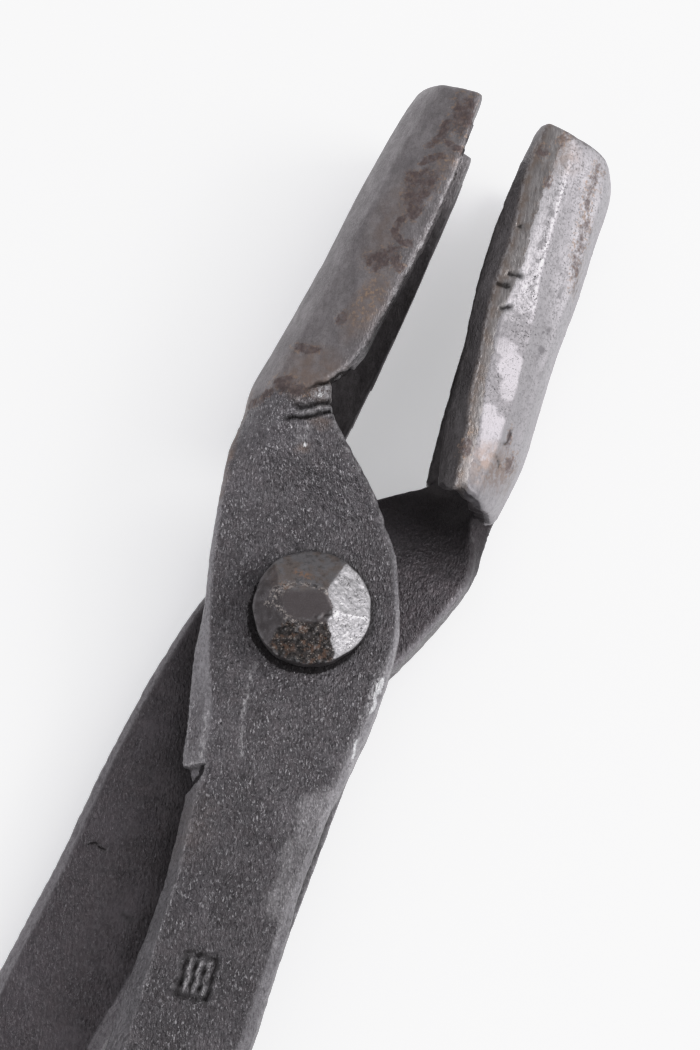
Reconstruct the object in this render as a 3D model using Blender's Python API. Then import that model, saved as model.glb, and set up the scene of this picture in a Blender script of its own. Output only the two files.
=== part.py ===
"""Blacksmith's hollow-bit tongs: two forged halves that cross on one rivet.

Row frame, metres: the rivet's axis is Z, the jaws point along +Y and the reins (handles)
along -Y. The origin is the middle of the flat foot hammered on the rivet's lower head.
The tongs are drawn a little open, the way they lie on a bench.
Everything below is in millimetres until MM turns it into metres.
"""

import math

import bmesh
import bpy

MM = 0.001

# ---- driving dimensions (mm) -------------------------------------------------
PLATE = 8.0            # thickness of each boss, where the halves lap
GAP = 0.3              # clearance between the laps, and under each rivet head
HEAD_R, HEAD_H = 10.0, 6.3      # rivet head
SHANK_R, HOLE_R = 5.0, 5.3      # rivet shank, and the punched hole it turns in
BORE_Z = 14.6          # half height of the hollow bit, so a jaw is 29.2 mm high
WALL = 4.3             # wall of the hollow bit
JAW_BASE, JAW_TIP = 28.0, 96.1  # where the trough starts and ends along Y
REIN_END = -303.0

FOOT = 0.0
LOW_BOTTOM = FOOT + HEAD_H + GAP
LOW_TOP = LOW_BOTTOM + PLATE
UP_BOTTOM = LOW_TOP + GAP
UP_TOP = UP_BOTTOM + PLATE
MID = (LOW_TOP + UP_BOTTOM) / 2         # mating plane, the height of the jaws' axis

# ---- the plan of each half ----------------------------------------------------
# Both halves are one design, turned over about the long axis. A hand-forged pair is
# never quite alike, so each has its own plan. y: (jaw-side edge, crotch-side edge),
# with x counted towards the half's own jaw, so the jaw side is always positive.
UPPER_PLAN = [
    (-303.0, -19.0, -29.0), (-262.0, -17.2, -28.2), (-215.0, -13.4, -25.9), (-165.0, -8.2, -22.4),
    (-125.0, -2.8, -20.4), (-95.0, 0.6, -19.8), (-71.0, 2.8, -19.3), (-54.0, 4.1, -17.8),
    (-43.0, 5.8, -17.3), (-36.5, 7.2, -17.0), (-32.5, 9.6, -16.8), (-24.0, 12.6, -16.5), (-15.0, 15.2, -16.6),
    (-6.0, 17.2, -16.2), (2.0, 19.7, -15.0), (10.0, 21.9, -11.5), (14.0, 22.9, -9.4),
    (18.0, 23.8, -6.0), (22.0, 24.6, -2.4), (25.5, 25.2, 1.8), (28.3, 25.6, 5.2), (30.5, 25.9, 7.8), (33.2, 26.1, 10.1),
    (39.0, 25.8, 12.4),
]
LOWER_PLAN = [
    (-303.0, -24.0, -34.0), (-262.0, -21.8, -32.8), (-215.0, -18.4, -30.9), (-165.0, -13.6, -28.0),
    (-125.0, -8.2, -26.2), (-95.0, -4.9, -25.2), (-75.0, -3.4, -24.6), (-56.0, -1.0, -23.3),
    (-43.0, 2.4, -23.0), (-34.0, 5.8, -22.7), (-24.0, 9.8, -22.0), (-15.0, 12.6, -21.0),
    (-6.0, 14.6, -19.4), (2.0, 18.0, -17.0), (10.0, 20.7, -12.3), (14.0, 21.7, -9.6),
    (18.0, 22.4, -6.2), (22.0, 22.8, -2.9), (25.5, 22.8, 0.2), (28.3, 22.8, 3.0), (31.0, 22.9, 6.0), (33.5, 23.0, 8.4),
    (39.0, 23.0, 9.2),
]
# Thickness and height of the middle of the bar above the mating plane, along Y.
BAR = [
    (-303.0, 10.0, 0.0), (-262.0, 10.6, 0.0), (-215.0, 11.0, 0.0), (-172.0, 11.2, 0.6),
    (-140.0, 11.0, 3.4), (-110.0, 10.4, 5.3), (-80.0, 9.4, 4.9), (-50.0, 8.6, 4.45), (-20.0, 8.0, 4.15),
    (0.0, 8.0, 4.15), (9.0, 8.0, 4.15), (16.0, 8.0, 4.8), (24.0, 7.6, 7.4), (30.0, 6.4, 10.0), (35.0, 4.6, 11.8), (39.0, 3.6, 12.4),
]
# The outer corner on the jaw side is hammered off behind the boss: y, width, depth.
BEVEL = [(-303.0, 3.1, 3.1), (-165.0, 3.2, 3.2), (-95.0, 3.2, 3.4), (-71.0, 2.8, 3.4), (-60.0, 2.0, 3.0), (-40.0, 1.8, 2.8),
         (-33.0, 3.6, 3.8), (-27.0, 3.9, 3.9), (-19.5, 3.3, 3.6), (-10.5, 1.7, 2.4), (-5.0, 0.9, 1.2), (0.0, 0.8, 0.8), (39.0, 0.7, 0.7)]
# Chamfer of the bar's other edges, which grows until the rein's end is nearly round.
CHAMFER = [(-303.0, 3.1), (-215.0, 3.2), (-165.0, 3.2), (-110.0, 2.6), (-60.0, 1.7), (-25.0, 1.2), (0.0, 0.8), (39.0, 0.7)]

# Hollow bits: y: (outside of the back wall, upper lip, lower lip), x towards the jaw.
UPPER_BIT = [
    (28.0, 26.0, 9.4, 9.4), (33.0, 26.6, 9.2, 9.1), (40.0, 25.9, 9.0, 8.7), (50.0, 25.0, 8.6, 8.2),
    (60.0, 24.2, 7.6, 7.8), (71.0, 23.7, 6.9, 7.7), (82.0, 22.9, 7.1, 7.9), (91.0, 22.0, 7.9, 8.4), (98.0, 20.4, 8.5, 8.9),
]
LOWER_BIT = [
    (28.0, 22.6, 8.4, 11.4), (34.0, 23.1, 7.5, 9.4), (40.0, 23.3, 6.5, 7.8), (50.0, 22.3, 5.1, 6.3),
    (60.0, 21.3, 4.0, 4.4), (71.0, 20.8, 3.0, 3.0), (82.0, 19.8, 2.4, 2.3), (91.0, 18.5, 2.5, 2.5), (98.0, 16.2, 2.9, 3.2),
]


def smooth(table, y, column=1):
    """Cubic through a table's rows, with the slope at each row from its neighbours."""
    rows = [(row[0], row[column]) for row in table]
    if y <= rows[0][0]:
        return rows[0][1]
    if y >= rows[-1][0]:
        return rows[-1][1]
    k = next(i for i in range(len(rows) - 1) if rows[i][0] <= y <= rows[i + 1][0])

    def slope(i):
        a, b = rows[max(i - 1, 0)], rows[min(i + 1, len(rows) - 1)]
        return (b[1] - a[1]) / (b[0] - a[0])

    (y0, v0), (y1, v1) = rows[k], rows[k + 1]
    h = y1 - y0
    t = (y - y0) / h
    return ((2 * t**3 - 3 * t**2 + 1) * v0 + (t**3 - 2 * t**2 + t) * h * slope(k)
            + (3 * t**2 - 2 * t**3) * v1 + (t**3 - t**2) * h * slope(k + 1))


def ease(t):
    t = min(1.0, max(0.0, t))
    return t * t * (3 - 2 * t)


# ---- sections -------------------------------------------------------------------
def bit_section(bit, y, side):
    """Back wall, length of the bent part along X, the reach of the straight part after it, and the
    share of the flank's length that is bent. Side is +1 for the flank on the boss."""
    back = smooth(bit, y, 1)
    reach = back - smooth(bit, y, 2 if side > 0 else 3)
    arc = min(reach - 0.4, BORE_Z - 0.6)
    bent = math.pi / 4 * (arc + BORE_Z)
    return back, arc, reach - arc, bent / (bent + reach - arc)


def bit_point(bit, y, a, inset):
    """A point of the trough's section at y, for a half drawn with its jaw at +x and the flank
    that carries on from the boss at +z. a runs from -1 at the free lip, through 0 at the back
    wall, to +1 at the lip of that flank; inset is the depth below the outside."""
    back, arc, straight, share = bit_section(bit, y, a)
    t = abs(a)
    if t <= share:
        angle = math.pi / 2 * t / share
        x = back - arc * (1 - math.cos(angle)) - inset * math.cos(angle)
        z = (BORE_Z - inset) * math.sin(angle)
    else:
        x = back - arc - straight * (t - share) / (1 - share)
        z = BORE_Z - inset
    return x, math.copysign(z, a) if t else 0.0


def bit_reach(bit, y, x):
    """The a at which the flank on the boss comes as far from the back wall as x."""
    back, arc, straight, share = bit_section(bit, y, 1)
    if x < back - arc:
        return share + (1 - share) * (back - arc - x) / straight
    return share * math.acos(max(-1.0, 1 - (back - x) / arc)) / (math.pi / 2)


STRIP = 8                                        # steps across the bar's wide faces


def bar_ring(plan, bit, y):
    """The bar's section at y as a ring of points, seen along +Y. The wide faces carry STRIP
    steps so that the neck can roll over into the flank of the trough."""
    jaw, crotch = smooth(plan, y, 1), smooth(plan, y, 2)
    thick, mid = smooth(BAR, y, 1), smooth(BAR, y, 2)
    c = min(smooth(CHAMFER, y), thick * 0.36)
    wide, deep = smooth(BEVEL, y, 1), min(smooth(BEVEL, y, 2), thick * 0.5)
    roll = ease((y - 15.0) / 20.0)
    top, bottom = [], []
    start = bit_reach(bit, y, crotch + c)        # where the flank's section meets the crotch edge
    for j in range(STRIP + 1):
        s = j / STRIP                            # 0 at the crotch edge, 1 at the jaw-side edge
        a = start + (-0.09 - start) * s
        ox, oz = bit_point(bit, y, a, 0.7)
        ix, iz = bit_point(bit, y, a, max(WALL, thick) - 0.7)
        x = crotch + c + (jaw - crotch - c - wide) * s
        top.append((x + (ox - x) * roll, mid + thick / 2 + (oz - mid - thick / 2) * roll))
        x = crotch + c + (jaw - crotch - 2 * c) * s
        bottom.append((x + (ix - x) * roll, mid - thick / 2 + (iz - mid + thick / 2) * roll))

    def corner(near, far, width, depth):
        """The point that stands out by width at depth below near, on the edge from near to far."""
        (ax, az), (bx, bz) = near, far
        length = math.dist(near, far)
        ux, uz = (bx - ax) / length, (bz - az) / length
        turn = 1 if near in (top[-1], bottom[0]) else -1
        drop, out = min(depth, 0.5 * length), width * (1 - roll) + 0.15
        return ax + ux * drop - turn * uz * out, az + uz * drop + turn * ux * out

    right = [corner(top[-1], bottom[-1], wide, deep), corner(bottom[-1], top[-1], c, c)]
    left = [corner(bottom[0], top[0], c, c), corner(top[0], bottom[0], c, c)]
    return top + right + bottom[::-1] + left


def skin(name, rings, material):
    """One closed mesh through rings of points in millimetres, with flat ends."""
    bm = bmesh.new()
    loops = [[bm.verts.new((x * MM, y * MM, z * MM)) for x, y, z in ring] for ring in rings]
    n = len(loops[0])
    for a, b in zip(loops, loops[1:]):
        for k in range(n):
            bm.faces.new((a[k], a[(k + 1) % n], b[(k + 1) % n], b[k]))
    bm.faces.new(loops[0][::-1])
    bm.faces.new(loops[-1])
    bmesh.ops.recalc_face_normals(bm, faces=bm.faces)
    mesh = bpy.data.meshes.new(name)
    bm.to_mesh(mesh)
    bm.free()
    mesh.shade_smooth()
    mesh.set_sharp_from_angle(angle=math.radians(32))
    mesh.materials.append(material)
    obj = bpy.data.objects.new(name, mesh)
    bpy.context.scene.collection.objects.link(obj)
    return obj


def helper(obj):
    obj.hide_render = True
    obj.display_type = "WIRE"
    return obj


BAR_STATIONS = ([-303.0, -300.5] + [-288.0 + 22.0 * k for k in range(10)] + [-72.0, -56.0, -44.0, -37.0, -32.5, -24.0, -15.0, -6.0]
                + [1.0, 7.0, 12.0, 16.0, 20.0, 23.0, 26.0, 29.0, 32.0, 35.0, 38.0])
ARC_STEPS = 20
LIP_BEVEL = {"upper_half": 0.6, "lower_half": 2.6}   # outside corner taken off the free flank's lip


LIP_CORNER = {"upper_half": 11.0, "lower_half": 1.0}  # how far the boss flank's lip is drawn back at its base
TIP_SKEW = {"upper_half": 0.9, "lower_half": -0.3}   # how much longer the boss flank is at the tip


def start_of(a, corner):
    """Where the trough's sheet starts at a: the free flank is cut straight across, and the flank
    on the boss starts further out, with its lip's corner drawn back in a curve."""
    if a <= 0:
        return JAW_BASE
    return JAW_BASE + 4.5 * ease(a / 0.35) + corner * max(0.0, (a - 0.72) / 0.28) ** 2


def end_of(a, skew):
    """The tip, a little skew across the trough, with its lips' corners taken off."""
    return JAW_TIP - 1.0 + skew * a - 0.5 * abs(a) ** 4 + 0.8 * (1 - (1 - abs(a)) ** 2)


def trough_rings(bit, bevel, corner, skew):
    """The hollow bit as rings that run along Y at each step of the arc."""
    steps = 11
    rings = []
    for k in range(ARC_STEPS + 1):
        a = -1 + 2 * k / ARC_STEPS
        depth = bevel if k == 0 else 0.5 if k == ARC_STEPS else 0.0
        y0, y1 = start_of(a, corner), end_of(a, skew)
        ys = [y0 + (y1 - y0) * i / steps for i in range(steps + 1)]
        outside = [(bit_point(bit, y, a, depth), y) for y in ys]
        inside = [(bit_point(bit, y, a, WALL), y) for y in ys]
        rings.append([(x, y, z) for (x, z), y in outside] + [(x, y, z) for (x, z), y in inside[::-1]])
    return rings


def place(points, side):
    """From the half's own drawing, with its jaw at +x and its boss above the mating plane, to the
    row frame: side +1 is the upper half, whose jaw lies at -X; -1 is the lower, turned over."""
    return [(-side * x, y, MID + side * z) for x, y, z in points]


def make_half(name, plan, bit, side, material):
    bar = []
    for y in BAR_STATIONS:
        ring = bar_ring(plan, bit, y)
        if y == REIN_END:                        # the very end is dressed round
            cx = sum(x for x, _ in ring) / len(ring)
            cz = sum(z for _, z in ring) / len(ring)
            ring = [(cx + (x - cx) * 0.72, cz + (z - cz) * 0.72) for x, z in ring]
        bar.append(place([(x, y, z) for x, z in ring], side))
    half = skin(name, bar, material)
    trough = helper(skin(name + "_trough", [place(ring, side) for ring in trough_rings(bit, LIP_BEVEL[name], LIP_CORNER[name], TIP_SKEW[name])], material))
    join = half.modifiers.new("trough", "BOOLEAN")
    join.operation, join.solver, join.object = "UNION", "EXACT", trough

    bpy.ops.mesh.primitive_cylinder_add(vertices=32, radius=HOLE_R * MM, depth=40 * MM, location=(0, 0, MID * MM))
    punch = helper(bpy.context.object)
    punch.name = name + "_hole"
    hole = half.modifiers.new("rivet_hole", "BOOLEAN")
    hole.operation, hole.solver, hole.object = "DIFFERENCE", "EXACT", punch
    return half


def lathe(name, profile, segments, material):
    """A turned solid about Z from (radius, z) pairs, the first and last on the axis."""
    bm = bmesh.new()
    rings = []
    for r, z in profile:
        if r == 0:
            rings.append([bm.verts.new((0, 0, z * MM))])
        else:
            rings.append([bm.verts.new((r * MM * math.cos(2 * math.pi * k / segments),
                                        r * MM * math.sin(2 * math.pi * k / segments), z * MM))
                          for k in range(segments)])
    for a, b in zip(rings, rings[1:]):
        for k in range(segments):
            n = (k + 1) % segments
            if len(a) == 1:
                bm.faces.new((a[0], b[n], b[k]))
            elif len(b) == 1:
                bm.faces.new((a[k], a[n], b[0]))
            else:
                bm.faces.new((a[k], a[n], b[n], b[k]))
    bmesh.ops.recalc_face_normals(bm, faces=bm.faces)
    mesh = bpy.data.meshes.new(name)
    bm.to_mesh(mesh)
    bm.free()
    mesh.materials.append(material)
    obj = bpy.data.objects.new(name, mesh)
    bpy.context.scene.collection.objects.link(obj)
    return obj


def hammer_head(obj, base_z, up, flat_r, tilts):
    """Cuts hammered facets into a rivet head: a flat on the crown, and one sloped facet for each
    azimuth in tilts, given as (azimuth, slope from the boss's plane, distance from the axis at the rim)."""
    bm = bmesh.new()
    bm.from_mesh(obj.data)
    for azimuth, slope, rim in tilts:
        az, sl = math.radians(azimuth), math.radians(slope)
        normal = (math.sin(sl) * math.cos(az), math.sin(sl) * math.sin(az), up * math.cos(sl))
        point = (rim * MM * math.cos(az), rim * MM * math.sin(az), (base_z + up * 1.6) * MM)
        geometry = bm.verts[:] + bm.edges[:] + bm.faces[:]
        cut = bmesh.ops.bisect_plane(bm, geom=geometry, plane_co=point, plane_no=normal, clear_outer=True, dist=1e-7)
        rim_edges = [e for e in cut["geom_cut"] if isinstance(e, bmesh.types.BMEdge)]
        bmesh.ops.edgenet_fill(bm, edges=rim_edges)
    bmesh.ops.recalc_face_normals(bm, faces=bm.faces)
    bmesh.ops.dissolve_degenerate(bm, edges=bm.edges, dist=1e-6)
    bm.to_mesh(obj.data)
    bm.free()


def make_rivet(material):
    low, high = LOW_BOTTOM - GAP, UP_TOP + GAP
    profile = [
        (0, FOOT), (4.6, FOOT), (7.4, FOOT + 2.0), (9.3, FOOT + 3.9), (HEAD_R, FOOT + 5.1), (HEAD_R - 0.2, low),
        (SHANK_R, low), (SHANK_R, high), (HEAD_R - 0.2, high), (HEAD_R, high + 0.9), (9.4, high + 2.3),
        (7.6, high + 4.3), (5.0, high + HEAD_H), (0, high + HEAD_H),
    ]
    rivet = lathe("rivet", profile, 32, material)
    hammer_head(rivet, high, 1, 4.5, [(-22, 37, 9.5), (42, 33, 9.8), (98, 31, 9.7), (150, 32, 9.8), (208, 34, 9.6), (272, 38, 9.5)])
    rivet.data.shade_smooth()
    rivet.data.set_sharp_from_angle(angle=math.radians(18))
    return rivet


def material(name, colour, roughness):
    made = bpy.data.materials.new(name)
    made.use_nodes = True
    shader = made.node_tree.nodes["Principled BSDF"]
    shader.inputs["Base Color"].default_value = (*colour, 1)
    shader.inputs["Roughness"].default_value = roughness
    shader.inputs["Metallic"].default_value = 0.9
    return made


def main():
    for obj in list(bpy.data.objects):
        bpy.data.objects.remove(obj)
    dark = material("forge_scale", (0.075, 0.072, 0.078), 0.55)
    worn = material("worn_scale", (0.16, 0.15, 0.15), 0.42)
    head = material("hammered_rivet", (0.12, 0.11, 0.11), 0.4)
    make_half("upper_half", UPPER_PLAN, UPPER_BIT, 1, dark)
    make_half("lower_half", LOWER_PLAN, LOWER_BIT, -1, worn)
    make_rivet(head)


main()
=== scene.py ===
"""Hollow-bit tongs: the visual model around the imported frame.

Each half is one forging, so each is one skin: a dense loft of the bar and one of the trough are
welded by a voxel remesh, then worked over with hammer marks, ground flats, laps, nicks and pits.
Lengths are millimetres until MM turns them into metres.
"""
import math

import bmesh
import bpy
import numpy as np
from mathutils import Matrix, Vector


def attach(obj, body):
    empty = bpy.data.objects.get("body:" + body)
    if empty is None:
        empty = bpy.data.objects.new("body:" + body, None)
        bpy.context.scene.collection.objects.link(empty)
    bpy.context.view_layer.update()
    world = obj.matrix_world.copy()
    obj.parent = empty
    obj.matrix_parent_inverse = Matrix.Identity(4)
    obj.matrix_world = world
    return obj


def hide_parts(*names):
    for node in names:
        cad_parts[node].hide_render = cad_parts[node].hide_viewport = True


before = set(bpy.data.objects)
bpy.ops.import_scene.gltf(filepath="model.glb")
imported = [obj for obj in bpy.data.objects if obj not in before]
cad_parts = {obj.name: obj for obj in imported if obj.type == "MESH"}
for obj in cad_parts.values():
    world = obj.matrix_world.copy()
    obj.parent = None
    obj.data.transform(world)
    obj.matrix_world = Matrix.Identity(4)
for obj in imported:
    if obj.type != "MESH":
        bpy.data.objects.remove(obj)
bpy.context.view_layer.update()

MM = 0.001
VOXEL = 0.4

# ---- the frame's dimensions ------------------------------------------------------
PLATE, GAP = 8.0, 0.3
HEAD_R, HEAD_H = 10.0, 6.3
SHANK_R, HOLE_R = 5.0, 5.3
BORE_Z, WALL = 14.6, 4.3
JAW_BASE, JAW_TIP = 28.0, 96.1
LOW_TOP = HEAD_H + GAP + PLATE
UP_TOP = LOW_TOP + GAP + PLATE
MID = LOW_TOP + GAP / 2

UPPER_PLAN = [
    (-303.0, -19.0, -29.0), (-262.0, -17.2, -28.2), (-215.0, -13.4, -25.9), (-165.0, -8.2, -22.4),
    (-125.0, -2.8, -20.4), (-95.0, 0.6, -19.8), (-71.0, 2.8, -19.3), (-54.0, 4.1, -17.8),
    (-43.0, 5.8, -17.3), (-36.9, 7.0, -17.0), (-34.6, 7.9, -16.9), (-32.4, 9.6, -16.8), (-24.0, 12.2, -16.5), (-15.0, 15.0, -16.6),
    (-6.0, 17.2, -16.2), (2.0, 19.7, -15.0), (10.0, 21.9, -11.5), (14.0, 22.9, -9.4),
    (18.0, 23.8, -6.0), (22.0, 24.6, -2.4), (25.5, 25.2, 1.8), (28.3, 25.6, 5.2), (30.5, 25.9, 7.8), (33.2, 26.1, 10.1),
    (39.0, 25.8, 12.4),
]
LOWER_PLAN = [
    (-303.0, -24.0, -34.0), (-262.0, -21.8, -32.8), (-215.0, -18.4, -30.9), (-165.0, -13.6, -28.0),
    (-125.0, -8.2, -26.2), (-95.0, -4.9, -25.2), (-75.0, -3.4, -24.6), (-56.0, -1.0, -23.3),
    (-43.0, 2.4, -23.0), (-34.0, 5.8, -22.7), (-24.0, 9.8, -22.0), (-15.0, 12.6, -21.0),
    (-6.0, 14.6, -19.4), (2.0, 17.7, -17.0), (10.0, 20.4, -12.3), (14.0, 21.5, -9.6),
    (18.0, 22.3, -6.2), (22.0, 22.8, -2.9), (25.5, 22.8, 0.2), (28.3, 22.8, 3.0), (31.0, 22.9, 6.0), (33.5, 23.0, 8.4),
    (39.0, 23.0, 9.2),
]
BAR = [
    (-303.0, 10.0, 0.0), (-262.0, 10.6, 0.0), (-215.0, 11.0, 0.0), (-172.0, 11.2, 0.6),
    (-140.0, 11.0, 3.4), (-110.0, 10.4, 5.3), (-80.0, 9.4, 4.9), (-50.0, 8.6, 4.45), (-20.0, 8.0, 4.15),
    (0.0, 8.0, 4.15), (9.0, 8.0, 4.15), (16.0, 8.0, 4.8), (24.0, 7.6, 7.4), (30.0, 6.4, 10.0), (35.0, 4.6, 11.8), (39.0, 3.6, 12.4),
]
BEVEL = [(-303.0, 3.1, 3.1), (-165.0, 3.2, 3.2), (-95.0, 3.2, 3.4), (-71.0, 2.8, 3.4), (-60.0, 2.0, 3.0), (-40.0, 1.8, 2.8),
         (-36.2, 1.9, 2.8), (-33.0, 3.5, 3.8), (-27.0, 3.9, 3.9), (-19.5, 3.3, 3.6), (-10.5, 1.7, 2.4), (-5.0, 0.9, 1.2), (0.0, 0.8, 0.8), (39.0, 0.7, 0.7)]
CHAMFER = [(-303.0, 3.1), (-215.0, 3.2), (-165.0, 3.2), (-110.0, 2.6), (-60.0, 1.7), (-25.0, 1.2), (0.0, 0.8), (39.0, 0.7)]
UPPER_BIT = [
    (28.0, 26.0, 9.4, 9.4), (33.0, 26.6, 9.2, 9.1), (40.0, 25.9, 9.0, 8.7), (50.0, 25.0, 8.6, 8.2),
    (60.0, 24.2, 7.6, 7.8), (71.0, 23.7, 6.9, 7.7), (82.0, 22.9, 7.1, 7.9), (91.0, 22.0, 7.9, 8.4), (98.0, 20.4, 8.5, 8.9),
]
LOWER_BIT = [
    (28.0, 22.6, 8.4, 11.4), (34.0, 23.1, 7.5, 9.4), (40.0, 23.3, 6.5, 7.8), (50.0, 22.3, 5.1, 6.3),
    (60.0, 21.3, 4.0, 4.4), (71.0, 20.8, 3.0, 3.0), (82.0, 19.8, 2.4, 2.3), (91.0, 19.0, 2.5, 2.5), (98.0, 17.0, 2.9, 3.2),
]
# The free flank of the lower half is ground in flats: where each ridge runs, x along Y.
RIDGE_LIP = [(28.0, 14.6), (35.0, 13.4), (39.0, 12.4), (43.0, 11.1), (47.0, 10.3), (51.0, 9.6), (56.0, 8.5), (61.0, 7.5), (66.0, 6.9), (72.0, 6.6), (78.0, 5.7), (84.0, 4.4), (90.0, 4.1), (98.0, 4.4)]
RIDGE_BAND = [(28.0, 16.2), (36.0, 14.8), (40.0, 14.1), (44.0, 13.0), (48.0, 12.1), (52.0, 11.3), (57.0, 10.4), (62.0, 9.9), (67.0, 10.0), (72.0, 9.6), (78.0, 8.7), (84.0, 8.3), (90.0, 7.9), (98.0, 7.4)]
RIDGE_TOP = [(28.0, 18.6), (36.0, 18.3), (43.0, 17.8), (48.0, 17.6), (53.0, 16.7), (58.0, 15.9), (63.0, 15.0), (68.0, 13.6), (74.0, 12.6), (80.0, 11.9), (88.0, 10.8), (98.0, 9.0)]
# Where the upper half's trough starts, as a step above the neck: x from the pivot: y.
STEP_LINE = ([8.0, 9.2, 10.5, 12.4, 14.3, 16.0, 19.6, 23.0, 26.5], [46.0, 43.4, 39.4, 36.6, 35.0, 33.2, 32.8, 31.2, 29.6])


def smooth(table, y, column=1):
    """Cubic through a table's rows, with the slope at each row from its neighbours."""
    if y <= table[0][0]:
        return table[0][column]
    if y >= table[-1][0]:
        return table[-1][column]
    k = 0
    while table[k + 1][0] < y:
        k += 1

    def slope(i):
        a, b = table[max(i - 1, 0)], table[min(i + 1, len(table) - 1)]
        return (b[column] - a[column]) / (b[0] - a[0])

    y0, v0, y1, v1 = table[k][0], table[k][column], table[k + 1][0], table[k + 1][column]
    h = y1 - y0
    t = (y - y0) / h
    return ((2 * t**3 - 3 * t**2 + 1) * v0 + (t**3 - 2 * t**2 + t) * h * slope(k)
            + (3 * t**2 - 2 * t**3) * v1 + (t**3 - t**2) * h * slope(k + 1))


def ease(t):
    t = min(1.0, max(0.0, t))
    return t * t * (3 - 2 * t)


def step(lo, hi, v):
    t = np.clip((v - lo) / (hi - lo), 0, 1)
    return t * t * (3 - 2 * t)


def along(table, y):
    """A table read at many y at once."""
    return np.interp(y, [r[0] for r in table], [r[1] for r in table])


# ---- noise -------------------------------------------------------------------------
def lattice(i, j, k, seed):
    h = (i * np.uint32(374761393) + j * np.uint32(668265263) + k * np.uint32(2246822519) + np.uint32(seed * 7919 + 13))
    h = (h ^ (h >> np.uint32(13))) * np.uint32(1274126177)
    h = (h ^ (h >> np.uint32(15))) * np.uint32(2246822519)
    return ((h ^ (h >> np.uint32(16))) & np.uint32(0xFFFFFF)).astype(np.float64) / 0x7FFFFF - 1


def noise(p, size, seed=0, octaves=1, gain=0.5):
    """Smooth noise from -1 to 1 at points p in mm, with bumps about size mm long in each axis."""
    total, weight, out = 0.0, 1.0, 0.0
    size = np.asarray(size, float) * np.ones(3)
    for o in range(octaves):
        q = p / size * 2**o + 1000.5 + 17.3 * seed
        base = np.floor(q)
        f = q - base
        f = f * f * f * (f * (f * 6 - 15) + 10)
        i, j, k = (base[:, n].astype(np.int64).astype(np.uint32) for n in range(3))
        one = np.uint32(1)
        acc = 0.0
        for dx in (0, 1):
            wx = f[:, 0] if dx else 1 - f[:, 0]
            for dy in (0, 1):
                wy = f[:, 1] if dy else 1 - f[:, 1]
                for dz in (0, 1):
                    wz = f[:, 2] if dz else 1 - f[:, 2]
                    acc = acc + wx * wy * wz * lattice(i + one * np.uint32(dx), j + one * np.uint32(dy), k + one * np.uint32(dz), seed + 31 * o)
        out = out + weight * acc
        total += weight
        weight *= gain
    return out / total * 1.4


# ---- sections -----------------------------------------------------------------------
def bit_section(bit, y, side):
    back = smooth(bit, y, 1)
    reach = back - smooth(bit, y, 2 if side > 0 else 3)
    arc = min(reach - 0.4, BORE_Z - 0.6)
    bent = math.pi / 4 * (arc + BORE_Z)
    return back, arc, reach - arc, bent / (bent + reach - arc)


def bit_point(bit, y, a, inset):
    """A point of the trough's section, for a half drawn with its jaw at +x and its boss above z = 0."""
    back, arc, straight, share = bit_section(bit, y, a)
    t = abs(a)
    if t <= share:
        angle = math.pi / 2 * t / share
        x = back - arc * (1 - math.cos(angle)) - inset * math.cos(angle)
        z = (BORE_Z - inset) * math.sin(angle)
    else:
        x = back - arc - straight * (t - share) / (1 - share)
        z = BORE_Z - inset
    return x, math.copysign(z, a) if t else 0.0


def bit_reach(bit, y, x):
    back, arc, straight, share = bit_section(bit, y, 1)
    if x < back - arc:
        return share + (1 - share) * (back - arc - x) / straight
    return share * math.acos(max(-1.0, 1 - (back - x) / arc)) / (math.pi / 2)


def chord(angle, nodes):
    """How far a section ground flat between the angles in nodes lies inside the round."""
    for lo, hi in zip(nodes, nodes[1:]):
        if lo <= angle <= hi:
            half = (hi - lo) / 2
            return BORE_Z * (1 - math.cos(half) / math.cos(angle - lo - half))
    return 0.0


STRIP = 26


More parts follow.
